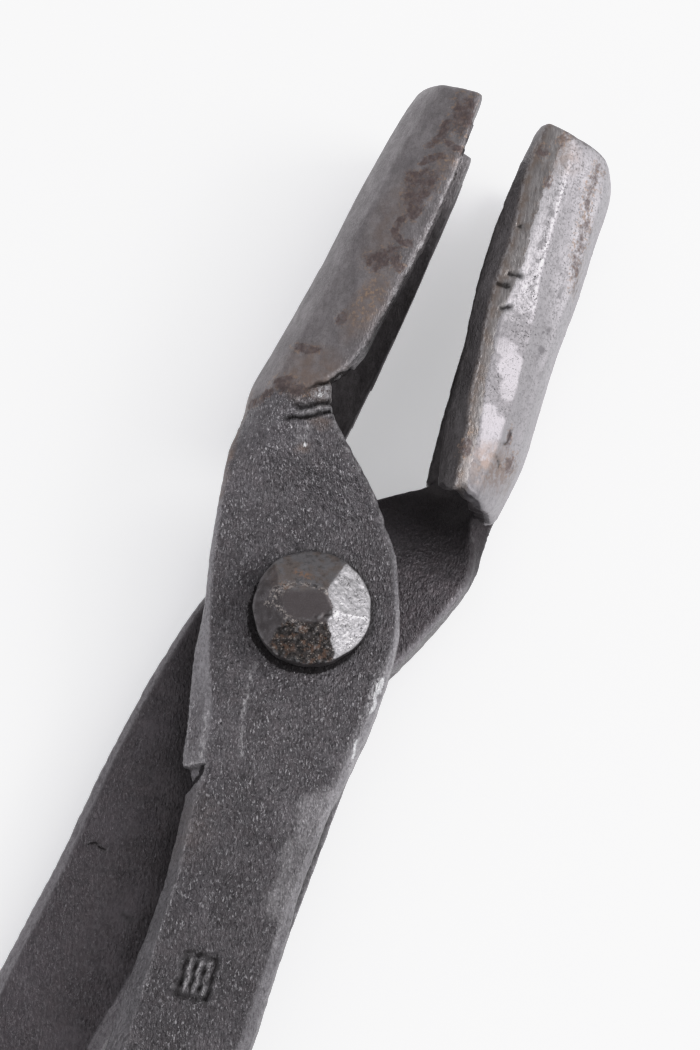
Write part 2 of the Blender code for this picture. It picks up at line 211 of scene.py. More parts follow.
def bar_ring(plan, bit, y):
    """The bar's section at y as a ring of points; the neck rolls over into the flank of the trough."""
    jaw, crotch = smooth(plan, y, 1), smooth(plan, y, 2)
    thick, mid = smooth(BAR, y, 1), smooth(BAR, y, 2)
    c = min(smooth(CHAMFER, y), thick * 0.36)
    wide, deep = smooth(BEVEL, y, 1), min(smooth(BEVEL, y, 2), thick * 0.5)
    if plan is LOWER_PLAN:
        wide, deep = 0.5 * (wide + c), 0.5 * (deep + c)
    roll = ease((y - 15.0) / 20.0)
    top, bottom = [], []
    start = bit_reach(bit, y, crotch + c)
    for j in range(STRIP + 1):
        s = j / STRIP
        a = start + (-0.09 - start) * s
        ox, oz = bit_point(bit, y, a, 0.5)
        ix, iz = bit_point(bit, y, a, max(WALL, thick) - 0.7)
        x = crotch + c + (jaw - crotch - c - wide) * s
        top.append((x + (ox - x) * roll, mid + thick / 2 + (oz - mid - thick / 2) * roll))
        x = crotch + c + (jaw - crotch - 2 * c) * s
        bottom.append((x + (ix - x) * roll, mid - thick / 2 + (iz - mid + thick / 2) * roll))

    def corner(near, far, width, depth):
        (ax, az), (bx, bz) = near, far
        length = math.dist(near, far)
        ux, uz = (bx - ax) / length, (bz - az) / length
        turn = 1 if near in (top[-1], bottom[0]) else -1
        drop, out = min(depth, 0.5 * length), width * (1 - roll) + 0.15
        return ax + ux * drop - turn * uz * out, az + uz * drop + turn * ux * out

    right = [corner(top[-1], bottom[-1], wide, deep), corner(bottom[-1], top[-1], c, c)]
    left = [corner(bottom[0], top[0], c, c), corner(top[0], bottom[0], c, c)]
    ring = top + right + bottom[::-1] + left
    end = (y + 303.0) / 3.2
    if end < 1:                                  # the rein's end is dressed round
        s = 0.66 + 0.34 * math.sqrt(1 - (1 - end) ** 2)
        cx, cz = sum(p[0] for p in ring) / len(ring), sum(p[1] for p in ring) / len(ring)
        ring = [(cx + (x - cx) * s, cz + (z - cz) * s) for x, z in ring]
    return ring


def tip_of(a, skew):
    return JAW_TIP - 1.0 + skew * a - 0.5 * abs(a) ** 4 + 0.8 * (1 - (1 - abs(a)) ** 2) + 0.8 * math.sin(math.pi * min(1.0, abs(a) / 0.66))


def trough_rings(bit, upper):
    """The hollow bit as rings that run along Y at each step of the arc."""
    arcs, steps = 112, 120
    skew = 0.9 if upper else -0.3
    rings = []
    for k in range(arcs + 1):
        a = -1 + 2 * k / arcs
        t = abs(a)
        # where the sheet starts
        ragged = 0.35 * math.sin(9.1 * a + 1.3) + 0.22 * math.sin(23.7 * a)
        if a <= 0:
            y0 = JAW_BASE + ragged * min(1.0, t * 6)
        elif upper:
            y0 = JAW_BASE
            for _ in range(3):
                x, _z = bit_point(bit, y0, a, 0.0)
                y0 = float(np.interp(x, *STEP_LINE))
            y0 = JAW_BASE + (y0 - JAW_BASE) * min(1.0, a / 0.12)
        else:
            y0 = JAW_BASE + 4.5 * ease(a / 0.35) + 1.0 * max(0.0, (a - 0.72) / 0.28) ** 2
        y1 = tip_of(a, skew)
        outside, inside = [], []
        for i in range(steps + 1):
            s = i / steps
            y = y0 + (y1 - y0) * (s + 0.12 * math.sin(math.tau * s) / math.tau * -1)
            back, arc, _, share = bit_section(bit, y, a)
            angle = math.pi / 2 * min(1.0, t / share)
            x_here = bit_point(bit, y, a, 0.0)[0]
            depth = 0.0
            rounding = 1 - 0.6 * ease((y - 84) / 10)    # the flats run out before the tip
            if not upper and a <= 0:
                lip, band, ridge = smooth(RIDGE_LIP, y), smooth(RIDGE_BAND, y), smooth(RIDGE_TOP, y)
                def at(x):
                    return math.acos(min(1.0, max(-1.0, 1 - (back - x) / arc)))
                nodes = sorted([math.radians(-4), math.radians(27), at(ridge), at(band), max(at(lip), at(band) + 0.02)])
                depth = chord(angle, nodes) * rounding
                if x_here < lip:
                    edge = smooth(bit, y, 3)
                    depth += 2.7 * min(1.0, (lip - x_here) / max(0.8, lip - edge))
            elif not upper:
                depth = chord(angle, [math.radians(v) for v in (-4, 33, 66, 90)])
            else:
                depth = 0.5 * rounding * chord(angle, [math.radians(v) for v in (-18, 22, 50, 90)])
                corner = bit_point(bit, y, a, 0.0)[0] - smooth(bit, y, 2 if a > 0 else 3)
                depth += 0.55 * max(0.0, 1 - corner / 0.7)
            # edges rounded at the tip and dressed at the base
            rim = max(0.0, 1 - (y1 - y) / 1.5)
            rim_in = 1.0 * (1 - math.sqrt(max(0.0, 1 - rim * rim)))
            foot = max(0.0, 1 - (y - y0) / (2.2 if upper and a > 0 else 0.9))
            foot_in = (0.45 if upper and a > 0 else 0.5) * foot * foot
            if upper and a > 0.8:
                foot_in += 1.3 * foot * (a - 0.8) / 0.2
            wall = WALL - 0.35 * rim - (0.5 * (t - 0.75) / 0.25 if t > 0.75 else 0.0)
            x, z = bit_point(bit, y, a, depth + rim_in + foot_in)
            outside.append((x, y, z))
            x, z = bit_point(bit, y, a, max(wall - rim_in * 0.5, depth + rim_in + foot_in + 1.2))
            inside.append((x, y, z))
        rings.append(outside + inside[::-1])
    return rings


def place(points, side):
    return [(-side * x, y, MID + side * z) for x, y, z in points]


def skin(bm, rings):
    loops = [[bm.verts.new(p) for p in ring] for ring in rings]
    n = len(loops[0])
    for a, b in zip(loops, loops[1:]):
        for k in range(n):
            bm.faces.new((a[k], a[(k + 1) % n], b[(k + 1) % n], b[k]))
    bm.faces.new(loops[0][::-1])
    bm.faces.new(loops[-1])


def punched(bm):
    """The bar in bm with the rivet's hole through it."""
    bmesh.ops.recalc_face_normals(bm, faces=bm.faces)
    blank, drift = bpy.data.meshes.new("blank"), bpy.data.meshes.new("drift")
    bm.to_mesh(blank)
    bm.clear()
    bmesh.ops.create_cone(bm, cap_ends=True, segments=64, radius1=HOLE_R + 0.1, radius2=HOLE_R + 0.1, depth=80.0)
    bm.to_mesh(drift)
    bm.clear()
    bar, tool = bpy.data.objects.new("blank", blank), bpy.data.objects.new("drift", drift)
    bpy.context.scene.collection.objects.link(bar)
    bpy.context.scene.collection.objects.link(tool)
    cut = bar.modifiers.new("hole", "BOOLEAN")
    cut.operation, cut.solver, cut.object = "DIFFERENCE", "EXACT", tool
    out = bpy.data.meshes.new_from_object(bar.evaluated_get(bpy.context.evaluated_depsgraph_get()))
    bm.from_mesh(out)
    for obj in (bar, tool):
        bpy.data.objects.remove(obj)
    for mesh in (blank, drift, out):
        bpy.data.meshes.remove(mesh)
    return bm


def weld(bm, voxel, name):
    """Everything in bm as one closed skin of even quads, as numpy arrays in mm."""
    bmesh.ops.recalc_face_normals(bm, faces=bm.faces)
    mesh = bpy.data.meshes.new(name)
    bm.to_mesh(mesh)
    bm.free()
    obj = bpy.data.objects.new(name, mesh)
    bpy.context.scene.collection.objects.link(obj)
    made = obj.modifiers.new("weld", "REMESH")
    made.mode, made.voxel_size, made.adaptivity = "VOXEL", voxel, 0.0
    deps = bpy.context.evaluated_depsgraph_get()
    out = bpy.data.meshes.new_from_object(obj.evaluated_get(deps))
    n = len(out.vertices)
    co = np.empty(n * 3)
    out.vertices.foreach_get("co", co)
    loops = np.empty(len(out.loops), np.int64)
    out.loops.foreach_get("vertex_index", loops)
    start = np.empty(len(out.polygons), np.int64)
    total = np.empty(len(out.polygons), np.int64)
    out.polygons.foreach_get("loop_start", start)
    out.polygons.foreach_get("loop_total", total)
    quads = loops[start[total == 4][:, None] + np.arange(4)]
    bpy.data.objects.remove(obj)
    bpy.data.meshes.remove(mesh)
    bpy.data.meshes.remove(out)
    return co.reshape(-1, 3), quads


class Skin:
    """A quad mesh held in numpy, with its normals, neighbours and curvature."""

    def __init__(self, co, quads):
        self.co, self.quads = co, quads
        e = np.concatenate([quads[:, [0, 1]], quads[:, [1, 2]], quads[:, [2, 3]], quads[:, [3, 0]]])
        e = np.sort(e, 1)
        self.edges = np.unique(e, axis=0)
        self.degree = np.bincount(self.edges.ravel(), minlength=len(co)).astype(float)

    def spread(self, v):
        """The mean of each vertex's neighbours."""
        out = np.zeros_like(v)
        for a, b in ((0, 1), (1, 0)):
            if v.ndim == 1:
                out += np.bincount(self.edges[:, a], v[self.edges[:, b]], minlength=len(v))
            else:
                for c in range(v.shape[1]):
                    out[:, c] += np.bincount(self.edges[:, a], v[self.edges[:, b], c], minlength=len(v))
        return out / (self.degree if v.ndim == 1 else self.degree[:, None])

    def blur(self, v, times):
        for _ in range(times):
            v = 0.4 * v + 0.6 * self.spread(v)
        return v

    def relax(self, times):
        """Takes out the voxels' steps without shrinking."""
        for _ in range(times):
            self.co = self.co + 0.55 * (self.spread(self.co) - self.co)
            self.co = self.co - 0.57 * (self.spread(self.co) - self.co)

    def normals(self):
        q = self.co[self.quads]
        n = np.cross(q[:, 2] - q[:, 0], q[:, 3] - q[:, 1])
        out = np.zeros_like(self.co)
        for c in range(3):
            for k in range(4):
                out[:, c] += np.bincount(self.quads[:, k], n[:, c], minlength=len(self.co))
        return out / np.maximum(np.linalg.norm(out, axis=1), 1e-12)[:, None]

    def curve(self, times):
        """Positive on ridges and negative in grooves, about 1 on a sharp edge."""
        n = self.normals()
        h = np.einsum("ij,ij->i", self.co - self.spread(self.co), n) / (0.25 * VOXEL)
        return self.blur(h, times)

    def finish(self, name, fields, material, body, nodes):
        mesh = bpy.data.meshes.new(name)
        mesh.vertices.add(len(self.co))
        mesh.vertices.foreach_set("co", (self.co * MM).astype(np.float32).ravel())
        mesh.loops.add(len(self.quads) * 4)
        mesh.loops.foreach_set("vertex_index", self.quads.astype(np.int32).ravel())
        mesh.polygons.add(len(self.quads))
        mesh.polygons.foreach_set("loop_start", np.arange(0, len(self.quads) * 4, 4, dtype=np.int32))
        mesh.update(calc_edges=True)
        mesh.validate()
        mesh.shade_smooth()
        for key, value in fields.items():
            layer = mesh.attributes.new(key, "FLOAT", "POINT")
            layer.data.foreach_set("value", np.clip(value, -1, 2).astype(np.float32))
        mesh.materials.append(material)
        obj = bpy.data.objects.new(name, mesh)
        bpy.context.scene.collection.objects.link(obj)
        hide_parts(*nodes)
        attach(obj, body)
        return obj


# ---- marks on a surface ---------------------------------------------------------------
def blob(p, x, y, rx, ry, turn=0.0):
    """1 in the middle of an ellipse, 0 at its edge and below 0 outside."""
    c, s = math.cos(math.radians(turn)), math.sin(math.radians(turn))
    u, v = p[:, 0] - x, p[:, 1] - y
    return 1 - np.sqrt(((u * c + v * s) / rx) ** 2 + ((v * c - u * s) / ry) ** 2)


def stroke(p, points, r):
    """The same for a line of width 2 r through points."""
    best = np.full(len(p), 1e9)
    for (ax, ay), (bx, by) in zip(points, points[1:]):
        dx, dy = bx - ax, by - ay
        t = np.clip(((p[:, 0] - ax) * dx + (p[:, 1] - ay) * dy) / (dx * dx + dy * dy), 0, 1)
        best = np.minimum(best, np.hypot(p[:, 0] - ax - t * dx, p[:, 1] - ay - t * dy))
    return 1 - best / r


def make_half(name, plan, bit, side, material):
    upper = side > 0
    bm = bmesh.new()
    stations = [-303.0, -302.6, -302.0, -301.2, -300.2] + list(np.arange(-298.0, -80.0, 3.0)) + list(np.arange(-79.0, 39.01, 1.0))
    skin(bm, [place([(x, y, z) for x, z in bar_ring(plan, bit, y)], side) for y in stations])
    bm = punched(bm)
    skin(bm, [place(r, side) for r in trough_rings(bit, upper)])
    co, quads = weld(bm, VOXEL, name)
    s = Skin(co, quads)
    s.relax(2)
    if upper:                                    # the flap beside the nick leans in a little
        s.co[:, 0] += 0.8 * step(-37, -32.5, s.co[:, 1]) * step(-11, -26, s.co[:, 1]) * step(-3, -11, s.co[:, 0])
    p = s.co
    n = s.normals()
    hx, y, hz = -side * p[:, 0], p[:, 1], side * (p[:, 2] - MID)
    seed = 3 if upper else 50
    if upper:
        step_y = np.interp(hx, *STEP_LINE)
        jaw = step(-0.5, 0.9, y - np.where(hz > 2, step_y, JAW_BASE + 1))
    else:
        jaw = step(-0.4, 0.3, y - np.where(hz < 1.5, JAW_BASE - 0.4, JAW_BASE + 3.5))
    back = along([(r[0], r[1]) for r in bit], y)
    xc = back - (BORE_Z - 0.6)
    rr = np.hypot((hx - xc) * BORE_Z / (BORE_Z - 0.6), hz)
    outer = jaw * step(BORE_Z - WALL * 0.62, BORE_Z - WALL * 0.38, np.where(hx < xc, np.abs(hz), rr))

    # hammer work: broad dents, then the grain of the scale, then edges that wander
    d = np.zeros(len(p))
    d += 0.13 * (1 - 0.75 * jaw) * noise(p, (7, 11, 7), seed, 2)
    d += 0.06 * (1 - 0.55 * outer) * noise(p, (2.2, 2.8, 2.2), seed + 1, 2)
    d += 0.05 * (1 - 0.85 * outer) * noise(p, 0.95, seed + 2, 1)
    d += 0.07 * outer * noise(p, (5, 16, 5), seed + 3, 1)
    pits = step(0.52, 0.95, noise(p, 1.7, seed + 4, 1))
    d -= 0.10 * pits * (1 - 0.6 * outer)

    fields = {}
    zero = np.zeros(len(p))
    lap = zero.copy()
    dark = zero.copy()
    bright = zero.copy()
    if upper:
        top = p[:, 2] > MID + 4
        warp = p.copy()
        warp[:, 0] += 0.30 * noise(p, 1.6, 71) + 0.12 * noise(p, 0.7, 72)
        warp[:, 1] += 0.30 * noise(p, 1.6, 73) + 0.12 * noise(p, 0.7, 74)
        # laps in the neck, where the flank was folded up from the boss
        cracks = [
            ([(-17.6, 28.2), (-15.3, 29.0), (-13.4, 29.9), (-12.3, 30.6), (-10.0, 32.3)], 0.42, 0.25),
            ([(-17.2, 31.5), (-15.6, 30.9), (-14.2, 31.2), (-12.0, 33.0), (-9.3, 35.4)], 0.40, 0.35),
            ([(-15.4, 35.0), (-13.2, 36.3), (-11.6, 38.0), (-9.9, 40.6)], 0.42, 0.35),
        ]
        crack_and_shadow = zero.copy()
        for line, half, raise_by in cracks:
            near = stroke(warp, line, 1.0)                       # 1 on the line, 0 at 1 mm, below 0 beyond
            away = 1 - near
            xs, ys = [q[0] for q in line], [q[1] for q in line]
            over = warp[:, 1] - np.interp(warp[:, 0], xs, ys)
            ends = step(xs[0] - 1.0, xs[0] + 2.0, warp[:, 0]) * (warp[:, 0] < xs[-1] + 1.2)
            d += raise_by * 0.7 * np.exp(-away / 1.1) * step(-0.1, 0.3, over) * ends * top
            crack_and_shadow = np.maximum(crack_and_shadow, np.clip(1 - away / 1.5, 0, 1) * np.interp(warp[:, 0], [xs[0], xs[-1]], [0.86, 1.0]) * ends * top)
            cut = step(half + 0.25, half - 0.25, away) * ends * top
            d -= 0.55 * cut
            lap = np.maximum(lap, cut)
        # the light flat on the right of the rein, and a lighter strip along the rein's right edge, a painted highlight
        # on the chamfer
        plane = step(0, 1, (p[:, 0] - 8.2) / 7.5) * step(-53, -44, y) * step(-23, -32, y) * top
        d -= 0.75 * plane
        bright += 0.75 * step(0.15, 0.6, plane + 0.25 * noise(p, 3.0, 78, 2))
        bright += 0.55 * step(14.0, 15.4, p[:, 0]) * step(-30, -20, y) * step(6, -2, y) * top
        # the nick in the rein's outer corner
        v = (p[:, 0] + 6.5) * 0.515 - (y + 30.8) * 0.857
        xr = np.interp(y, [-38.5, -36, -33, -30.5], [-8.6, -7.1, -6.0, -6.2]) + 0.12 * noise(p, 1.0, 76)
        nick = step(0, 0.4, v) * step(6.8, 2.5, v) * step(-0.1, 0.4, xr - p[:, 0]) * (p[:, 2] > MID + 1.5)
        d -= 1.0 * nick
        nick_line = np.clip(1 - np.abs(p[:, 0] - xr + 0.55) / 1.9 + 0.15, 0, 1) * step(-0.2, 0.3, v) * step(6.8, 4.5, v) * (p[:, 2] > MID + 2)
        crack_and_shadow = np.maximum(crack_and_shadow, nick_line)
        nick_lip = step(0.45, 0.1, np.abs(v + 0.2)) * step(-0.3, 0.2, xr - p[:, 0] + 0.3) * (p[:, 2] > MID + 3)
        # a plain generic mark, where a smith's stamp would be
        turn = math.radians(-9)
        u = (p[:, 0] - 6.9) * math.cos(turn) - (y + 63.6) * math.sin(turn)
        v = (p[:, 0] - 6.9) * math.sin(turn) + (y + 63.6) * math.cos(turn)
        box = step(1.0, 0.2, np.hypot(np.maximum(np.abs(u) - 2.3, 0), np.maximum(np.abs(v) - 3.4, 0)) + 0.12 * noise(p, 1.1, 77)) * top
        bars = sum(step(0.5, 0.22, np.abs(u - c)) for c in (-1.5, 0.1, 1.6)) * step(3.1, 2.6, np.abs(v))
        d -= 0.5 * box * (1 - 0.8 * np.clip(bars, 0, 1))
        dark += 0.22 * box * (1 - bars)
        mark = box * np.clip(bars, 0, 1)
        # rust on the jaw
        rust = np.maximum.reduce([
            blob(warp, -10.2, 91.4, 2.3, 3.9, 12), stroke(warp, [(-11.9, 89.0), (-12.2, 86.0), (-13.5, 83.9)], 1.0),
            stroke(warp, [(-10.6, 85.2), (-9.2, 84.7), (-7.6, 84.9)], 0.8),
            blob(warp, -11.7, 75.6, 2.5, 4.3, -18), stroke(warp, [(-13.2, 80.2), (-12.2, 81.4), (-10.4, 82.5)], 0.8),
            blob(warp, -13.6, 76.8, 1.6, 1.6), blob(warp, -11.0, 71.2, 1.6, 2.2),
            stroke(warp, [(-12.6, 69.2), (-13.3, 67.2), (-12.7, 65.7), (-11.2, 65.0), (-9.5, 65.4)], 0.75),
            blob(warp, -13.4, 60.6, 2.7, 2.0, 20), blob(warp, -11.6, 62.6, 1.2, 1.6), stroke(warp, [(-10.6, 61.2), (-9.2, 60.2)], 0.9),
            blob(warp, -15.0, 48.2, 1.0, 1.5), blob(warp, -18.6, 41.3, 2.7, 1.05, 8),
            blob(warp, -19.4, 33.3, 1.9, 1.2), blob(warp, -16.6, 33.0, 1.6, 1.0),
        ])
        folded = np.maximum.reduce([blob(warp, -19.6, 34.2, 2.4, 1.5, 10), blob(warp, -16.6, 33.6, 2.0, 1.2, -10), stroke(warp, [(-24.0, 30.0), (-21.4, 32.2)], 0.8)])
        fields["rust"] = np.maximum(np.clip(0.5 + 0.5 * np.clip(rust, -1, 1), 0, 1) * outer, np.clip(0.5 + 0.5 * folded, 0, 1)) * top
        warm = np.maximum.reduce([
            0.95 * np.clip(1.5 * blob(p, -15.5, 37.0, 7.5, 6.5), 0, 1), 0.9 * np.clip(1.5 * blob(p, -12.0, 52.0, 3.4, 9.0, -6), 0, 1),
            0.7 * np.clip(1.4 * blob(p, -9.3, 81.5, 2.2, 3.2), 0, 1), 0.5 * np.clip(1.4 * blob(p, -14.5, 68, 4, 12), 0, 1),
            1.2 * np.clip(1.5 * stroke(warp, [(-26.1, 31.0), (-25.9, 26.0), (-24.9, 19.0), (-23.6, 12.0)], 2.0), 0, 1),
            0.7 * np.clip(1.5 * blob(warp, -11.2, 29.4, 3.0, 1.3, 10), 0, 1), 0.7 * np.clip(1.5 * blob(warp, -12.2, 24.6, 1.5, 1.1), 0, 1),
            0.22 * np.clip(1.4 * blob(p, -6.0, -42.0, 7.0, 9.0), 0, 1),
        ])
        fields["warm"] = np.clip(warm, 0, 1) * (p[:, 2] > MID + 1)
        fields["gold"] = np.clip(1.6 * np.maximum(blob(p, -12.0, 53.0, 2.8, 7.5, -6), 0.8 * blob(p, -9.3, 81.8, 2.0, 2.4)), 0, 1) * outer * top
        rough_lip = np.clip(stroke(p, [(-9.1, 44.6), (-9.9, 41.6), (-11.0, 39.4), (-12.4, 37.5)], 1.1), 0, 1) * top
        bright += 0.55 * step(0.1, 0.6, rough_lip)
        bright += 0.8 * np.clip(2 * stroke(warp, [(-15.0, 30.5), (-12.6, 31.4), (-10.2, 33.4)], 1.1), 0, 1) * top
        zone = np.clip(1.6 * blob(p, -12.4, 35.2, 3.3, 1.5, 42), 0, 1)
        # painted highlights: glinting streaks on the rein's top and right edge and a glinty zone in the neck, carried
        # in the lip field
        glints = np.maximum.reduce([
            zone, 0.9 * stroke(warp, [(-5.2, -11.6), (-4.7, -15.9), (-3.4, -20.9), (-1.3, -27.0)], 0.6),
            0.45 * np.clip(1.5 * blob(p, -13.0, 27.0, 1.6, 2.2), 0, 1), 0.9 * stroke(warp, [(-9.6, -22.8), (-8.4, -27.0), (-7.3, -30.0)], 0.7),
            1.8 * stroke(warp, [(14.9, -5.5), (15.3, -9.0), (15.6, -13.5)], 1.0), 1.6 * stroke(warp, [(15.9, -17.0), (16.2, -22.5)], 0.9),
            0.7 * stroke(warp, [(14.6, -30.0), (15.1, -40.0), (16.6, -54.0)], 0.7),
        ])
        # painted highlights: near-white specks in the neck and streaks on the rein's right edge, bare metal painted as
        # bright as a highlight
        bare = np.maximum.reduce([stroke(warp, [(15.4, -6.5), (15.8, -9.0), (15.9, -12.5)], 0.55), stroke(warp, [(15.6, -17.5), (15.9, -20.5)], 0.45)])
        spot = np.maximum.reduce([blob(p, -12.9, 34.0, 0.7, 0.9), blob(p, -12.0, 25.2, 0.5, 0.7), bare])
        fields["spot"] = np.clip(0.5 + 0.5 * spot, 0, 1) * top
        fields["ground"] = zero
        fields["band"] = zero
        fields["polish"] = zero
        # a bright edge along the lip
        lip_x = along([(r[0], r[2]) for r in bit], y)
        flaky = np.clip(0.35 + 1.3 * noise(p, 1.0, 79, 2), 0, 1)
        lip = (0.8 * step(0.6, 0.2, np.abs(hx - lip_x - 0.1)) * flaky + 0.7 * step(2.6, 0.8, hx - lip_x) * step(0.35, 0.7, noise(p, 0.9, 80))) * step(12.9, 13.8, hz) * jaw * step(44, 60, y) * step(86, 80, y)
        # lip: wear along the jaw's lip, the mark's bars, the nick's edge, and the painted highlights above
        fields["lip"] = np.maximum.reduce([0.4 * lip, 0.95 * mark, 0.9 * nick_lip, np.clip(glints, 0, 1) * top])
        ring = np.hypot(p[:, 0], y)
        lower_left = np.clip(-(0.375 * p[:, 0] + 0.93 * y) / np.maximum(ring, 1.0) + 0.25, 0, 1.25)
        # painted shade: besides the laps, a dark ring on the plate just outside the rivet head's rim
        dark += 0.55 * lap + step(11.4, 10.3, ring) * 0.5 * (p[:, 2] > MID + 4) * step(9.2, 9.8, ring)
        # painted shadow: a dark crescent on the plate at the rivet head's lower-left, carried in the crack field
        # together with the real cracks
        rivet_shadow_crescent = np.clip(0.75 + (10.1 + 0.95 * lower_left**1.5 + 0.15 * noise(p, 1.2, 87) - ring) / 2.0, 0, 1) * (p[:, 2] > MID + 4) * (ring < 14) * (lower_left > 0.02)
        fields["crack_and_shadow"] = np.maximum(crack_and_shadow, rivet_shadow_crescent * (n[:, 2] > 0))
        shade = zero
        tone = (0.02 + 0.22 * step(-20, -48, y) + 0.02 * step(-50, -66, y)) * (1 - jaw) + 0.12 * step(2.5, 0.5, hx - along([(r[0], r[2]) for r in bit], y)) * jaw
        # painted shade on the lip's inner face near the neck, on faces turned towards +x
        tone += 0.55 * jaw * step(0.35, 0.8, n[:, 0]) * step(6, 9, hz) * step(70, 56, y)
    else:
        free = -hz                                 # height of the free flank, which is uppermost
        lipx, band, ridge = along(RIDGE_LIP, y), along(RIDGE_BAND, y), along(RIDGE_TOP, y)
        wob = 0.35 * noise(p, 1.5, 81, 2) + 0.12 * noise(p, 0.6, 82)
        up = jaw * outer * step(0, 2, free + 6)
        fields["ground"] = step(-0.12, 0.12, hx - band + wob * 0.8) * jaw * outer * step(8.5, 6.5, hz + 1.5 * wob)
        fields["ground"] = fields["ground"] * (1 - 0.85 * step(0.30, 0.65, n[:, 1] + 0.12 * noise(p, 1.1, 90)) * step(92.5, 94.0, y))
        fields["band"] = step(-0.1, 0.1, hx - lipx + wob * 0.7) * step(0.12, -0.12, hx - band + wob * 0.8) * up * step(6, 8, free)
        warp = p.copy()
        warp[:, 0] += 0.25 * noise(p, 1.4, 83) + 0.12 * noise(p, 0.6, 84)
        warp[:, 1] += 0.30 * noise(p, 1.6, 85) + 0.15 * noise(p, 0.7, 86)
        top = free > 3
        polish = np.maximum.reduce([
            stroke(warp, [(12.6, 54.6), (14.6, 53.6)], 1.7), stroke(warp, [(15.2, 53.4), (15.8, 50.5), (16.2, 47.4)], 1.5), blob(warp, 14.6, 51.4, 2.0, 2.2),
            stroke(warp, [(14.6, 42.6), (16.2, 40.0), (17.4, 35.5)], 1.7), blob(warp, 17.0, 41.0, 1.5, 2.4),
        ])
        fields["polish"] = np.clip(0.5 + 0.5 * np.clip(polish * 1.3, -1, 1), 0, 1) * top
        speck = np.maximum.reduce([
            np.clip(1 - np.abs(hx - ridge + 0.5) / 1.7, 0, 1) * step(50, 60, y) * step(92, 84, y),
            np.clip(1.4 * blob(p, 13.4, 47.8, 1.5, 5.0), 0, 1), np.clip(1.3 * blob(p, 15.0, 58.5, 2.3, 3.0), 0, 1),
            0.5 * step(30, 60, y) * step(1.0, 2.5, hx - band),
        ])
        fields["gold"] = speck * top
        rust = np.maximum.reduce([
            stroke(warp, [(15.2, 93.0), (15.4, 87.0), (16.8, 83.0), (17.5, 77.0), (19.3, 71.5)], 2.1) - 0.62,
            blob(warp, 21.0, 37.0, 1.2, 2.6, -12) - 0.2, blob(warp, 19.3, 40.5, 0.55, 2.2, 8),
            blob(warp, 5.2, 90.2, 1.2, 1.6), stroke(warp, [(8.6, 95.6), (7.6, 93.0)], 0.8), blob(warp, 8.2, 85.4, 0.8, 1.2),
            blob(warp, 13.4, 35.4, 1.1, 2.0),
        ])
        fields["rust"] = np.clip(0.5 + 0.5 * np.clip(rust, -1, 1), 0, 1) * top * jaw
        fields["warm"] = np.clip(np.maximum(1.6 * blob(warp, 18.5, 34.5, 5.5, 5.0, 30), 1.2 * blob(warp, 8.0, 91.0, 5, 5)), 0, 1) * top
        fields["tan"] = np.clip(1 - np.abs(hx - lipx - 0.3) / 1.1, 0, 1) * up * step(6, 8, free)
        smudged = np.maximum.reduce([blob(warp, 13.6, 59.6, 2.4, 3.0), stroke(warp, [(10.2, 83.5), (11.3, 78.2), (11.7, 73.1), (12.6, 66.4)], 1.2),
                                     0.7 * stroke(warp, [(16.6, 77.0), (18.2, 66.0), (18.7, 58.0)], 1.0)])
        smudged = np.clip(1.6 * smudged, 0, 1) * step(-0.35, 0.35, noise(p, 1.3, 89, 2))
        fields["dull"] = np.clip(0.66 + 0.5 * step(0.4, -0.4, hx - ridge) * (1 - 1.9 * step(50, 74, y)) - 0.75 * step(1.8, 5.5, hx - ridge) + 0.7 * smudged, 0, 1)
        # nicks on the lip, from the anvil's edge
        nicks = np.maximum.reduce([
            stroke(p, [(8.5, 66.8), (10.4, 67.2)], 0.55), 1.1 * stroke(p, [(7.3, 64.3), (9.1, 64.6)], 0.75),
            0.9 * stroke(p, [(9.6, 60.4), (10.8, 61.4)], 0.5), 0.8 * blob(p, 6.9, 75.5, 0.75, 0.75),
        ])
        nicks = np.clip(nicks, 0, 1) * top
        d -= 0.6 * nicks
        dark += 0.85 * step(0.15, 0.6, nicks)
        gash = np.clip(np.maximum(stroke(warp, [(19.3, 42.1), (19.0, 39.2)], 0.45), stroke(warp, [(18.7, 36.8), (19.7, 35.2)], 0.4)), 0, 1) * top
        d -= 0.25 * gash
        dark += 0.6 * gash
        # ragged cut at the foot of the free flank
        ragged = step(3.5, 0.5, y - JAW_BASE) * jaw * step(4, 8, free)
        d += 0.22 * ragged * noise(p, 1.5, 88, 2)
        lip_line = step(0.55, 0.15, np.abs(hx - lipx + 0.1)) * up * step(9, 11, free)
        fields["lip"] = 0.35 * lip_line
        scratch = np.clip(np.maximum(stroke(warp, [(-20.0, -50.4), (-18.2, -49.6), (-16.6, -50.0)], 0.42),
                                     stroke(warp, [(-9.6, -58.2), (-8.0, -59.2)], 0.9)), 0, 1) * (n[:, 2] > 0.5)
        d -= 0.2 * scratch
        dark += 0.7 * scratch
        # painted shade where the neck runs in under the foot of the free flank
        shade = (1 - jaw) * step(13.0, 25.5, y + 0.25 * (hx - 14)) * (n[:, 2] > -0.2) * (p[:, 2] > 5)
        # tone: the bar a little darker, more down the rein, with painted shade on the rein just below the boss where
        # the upper half lies over it; the unground lip of the free flank darker
        tone = 0.04 * (1 - jaw) + 0.10 * (1 - jaw) * step(-40, -60, y) + 0.24 * (1 - jaw) * step(-62, -40, y) * step(4, -8, y) + (0.32 + 0.30 * step(72, 45, y)) * up * step(0.15, -0.15, hx - lipx + wob * 0.5)
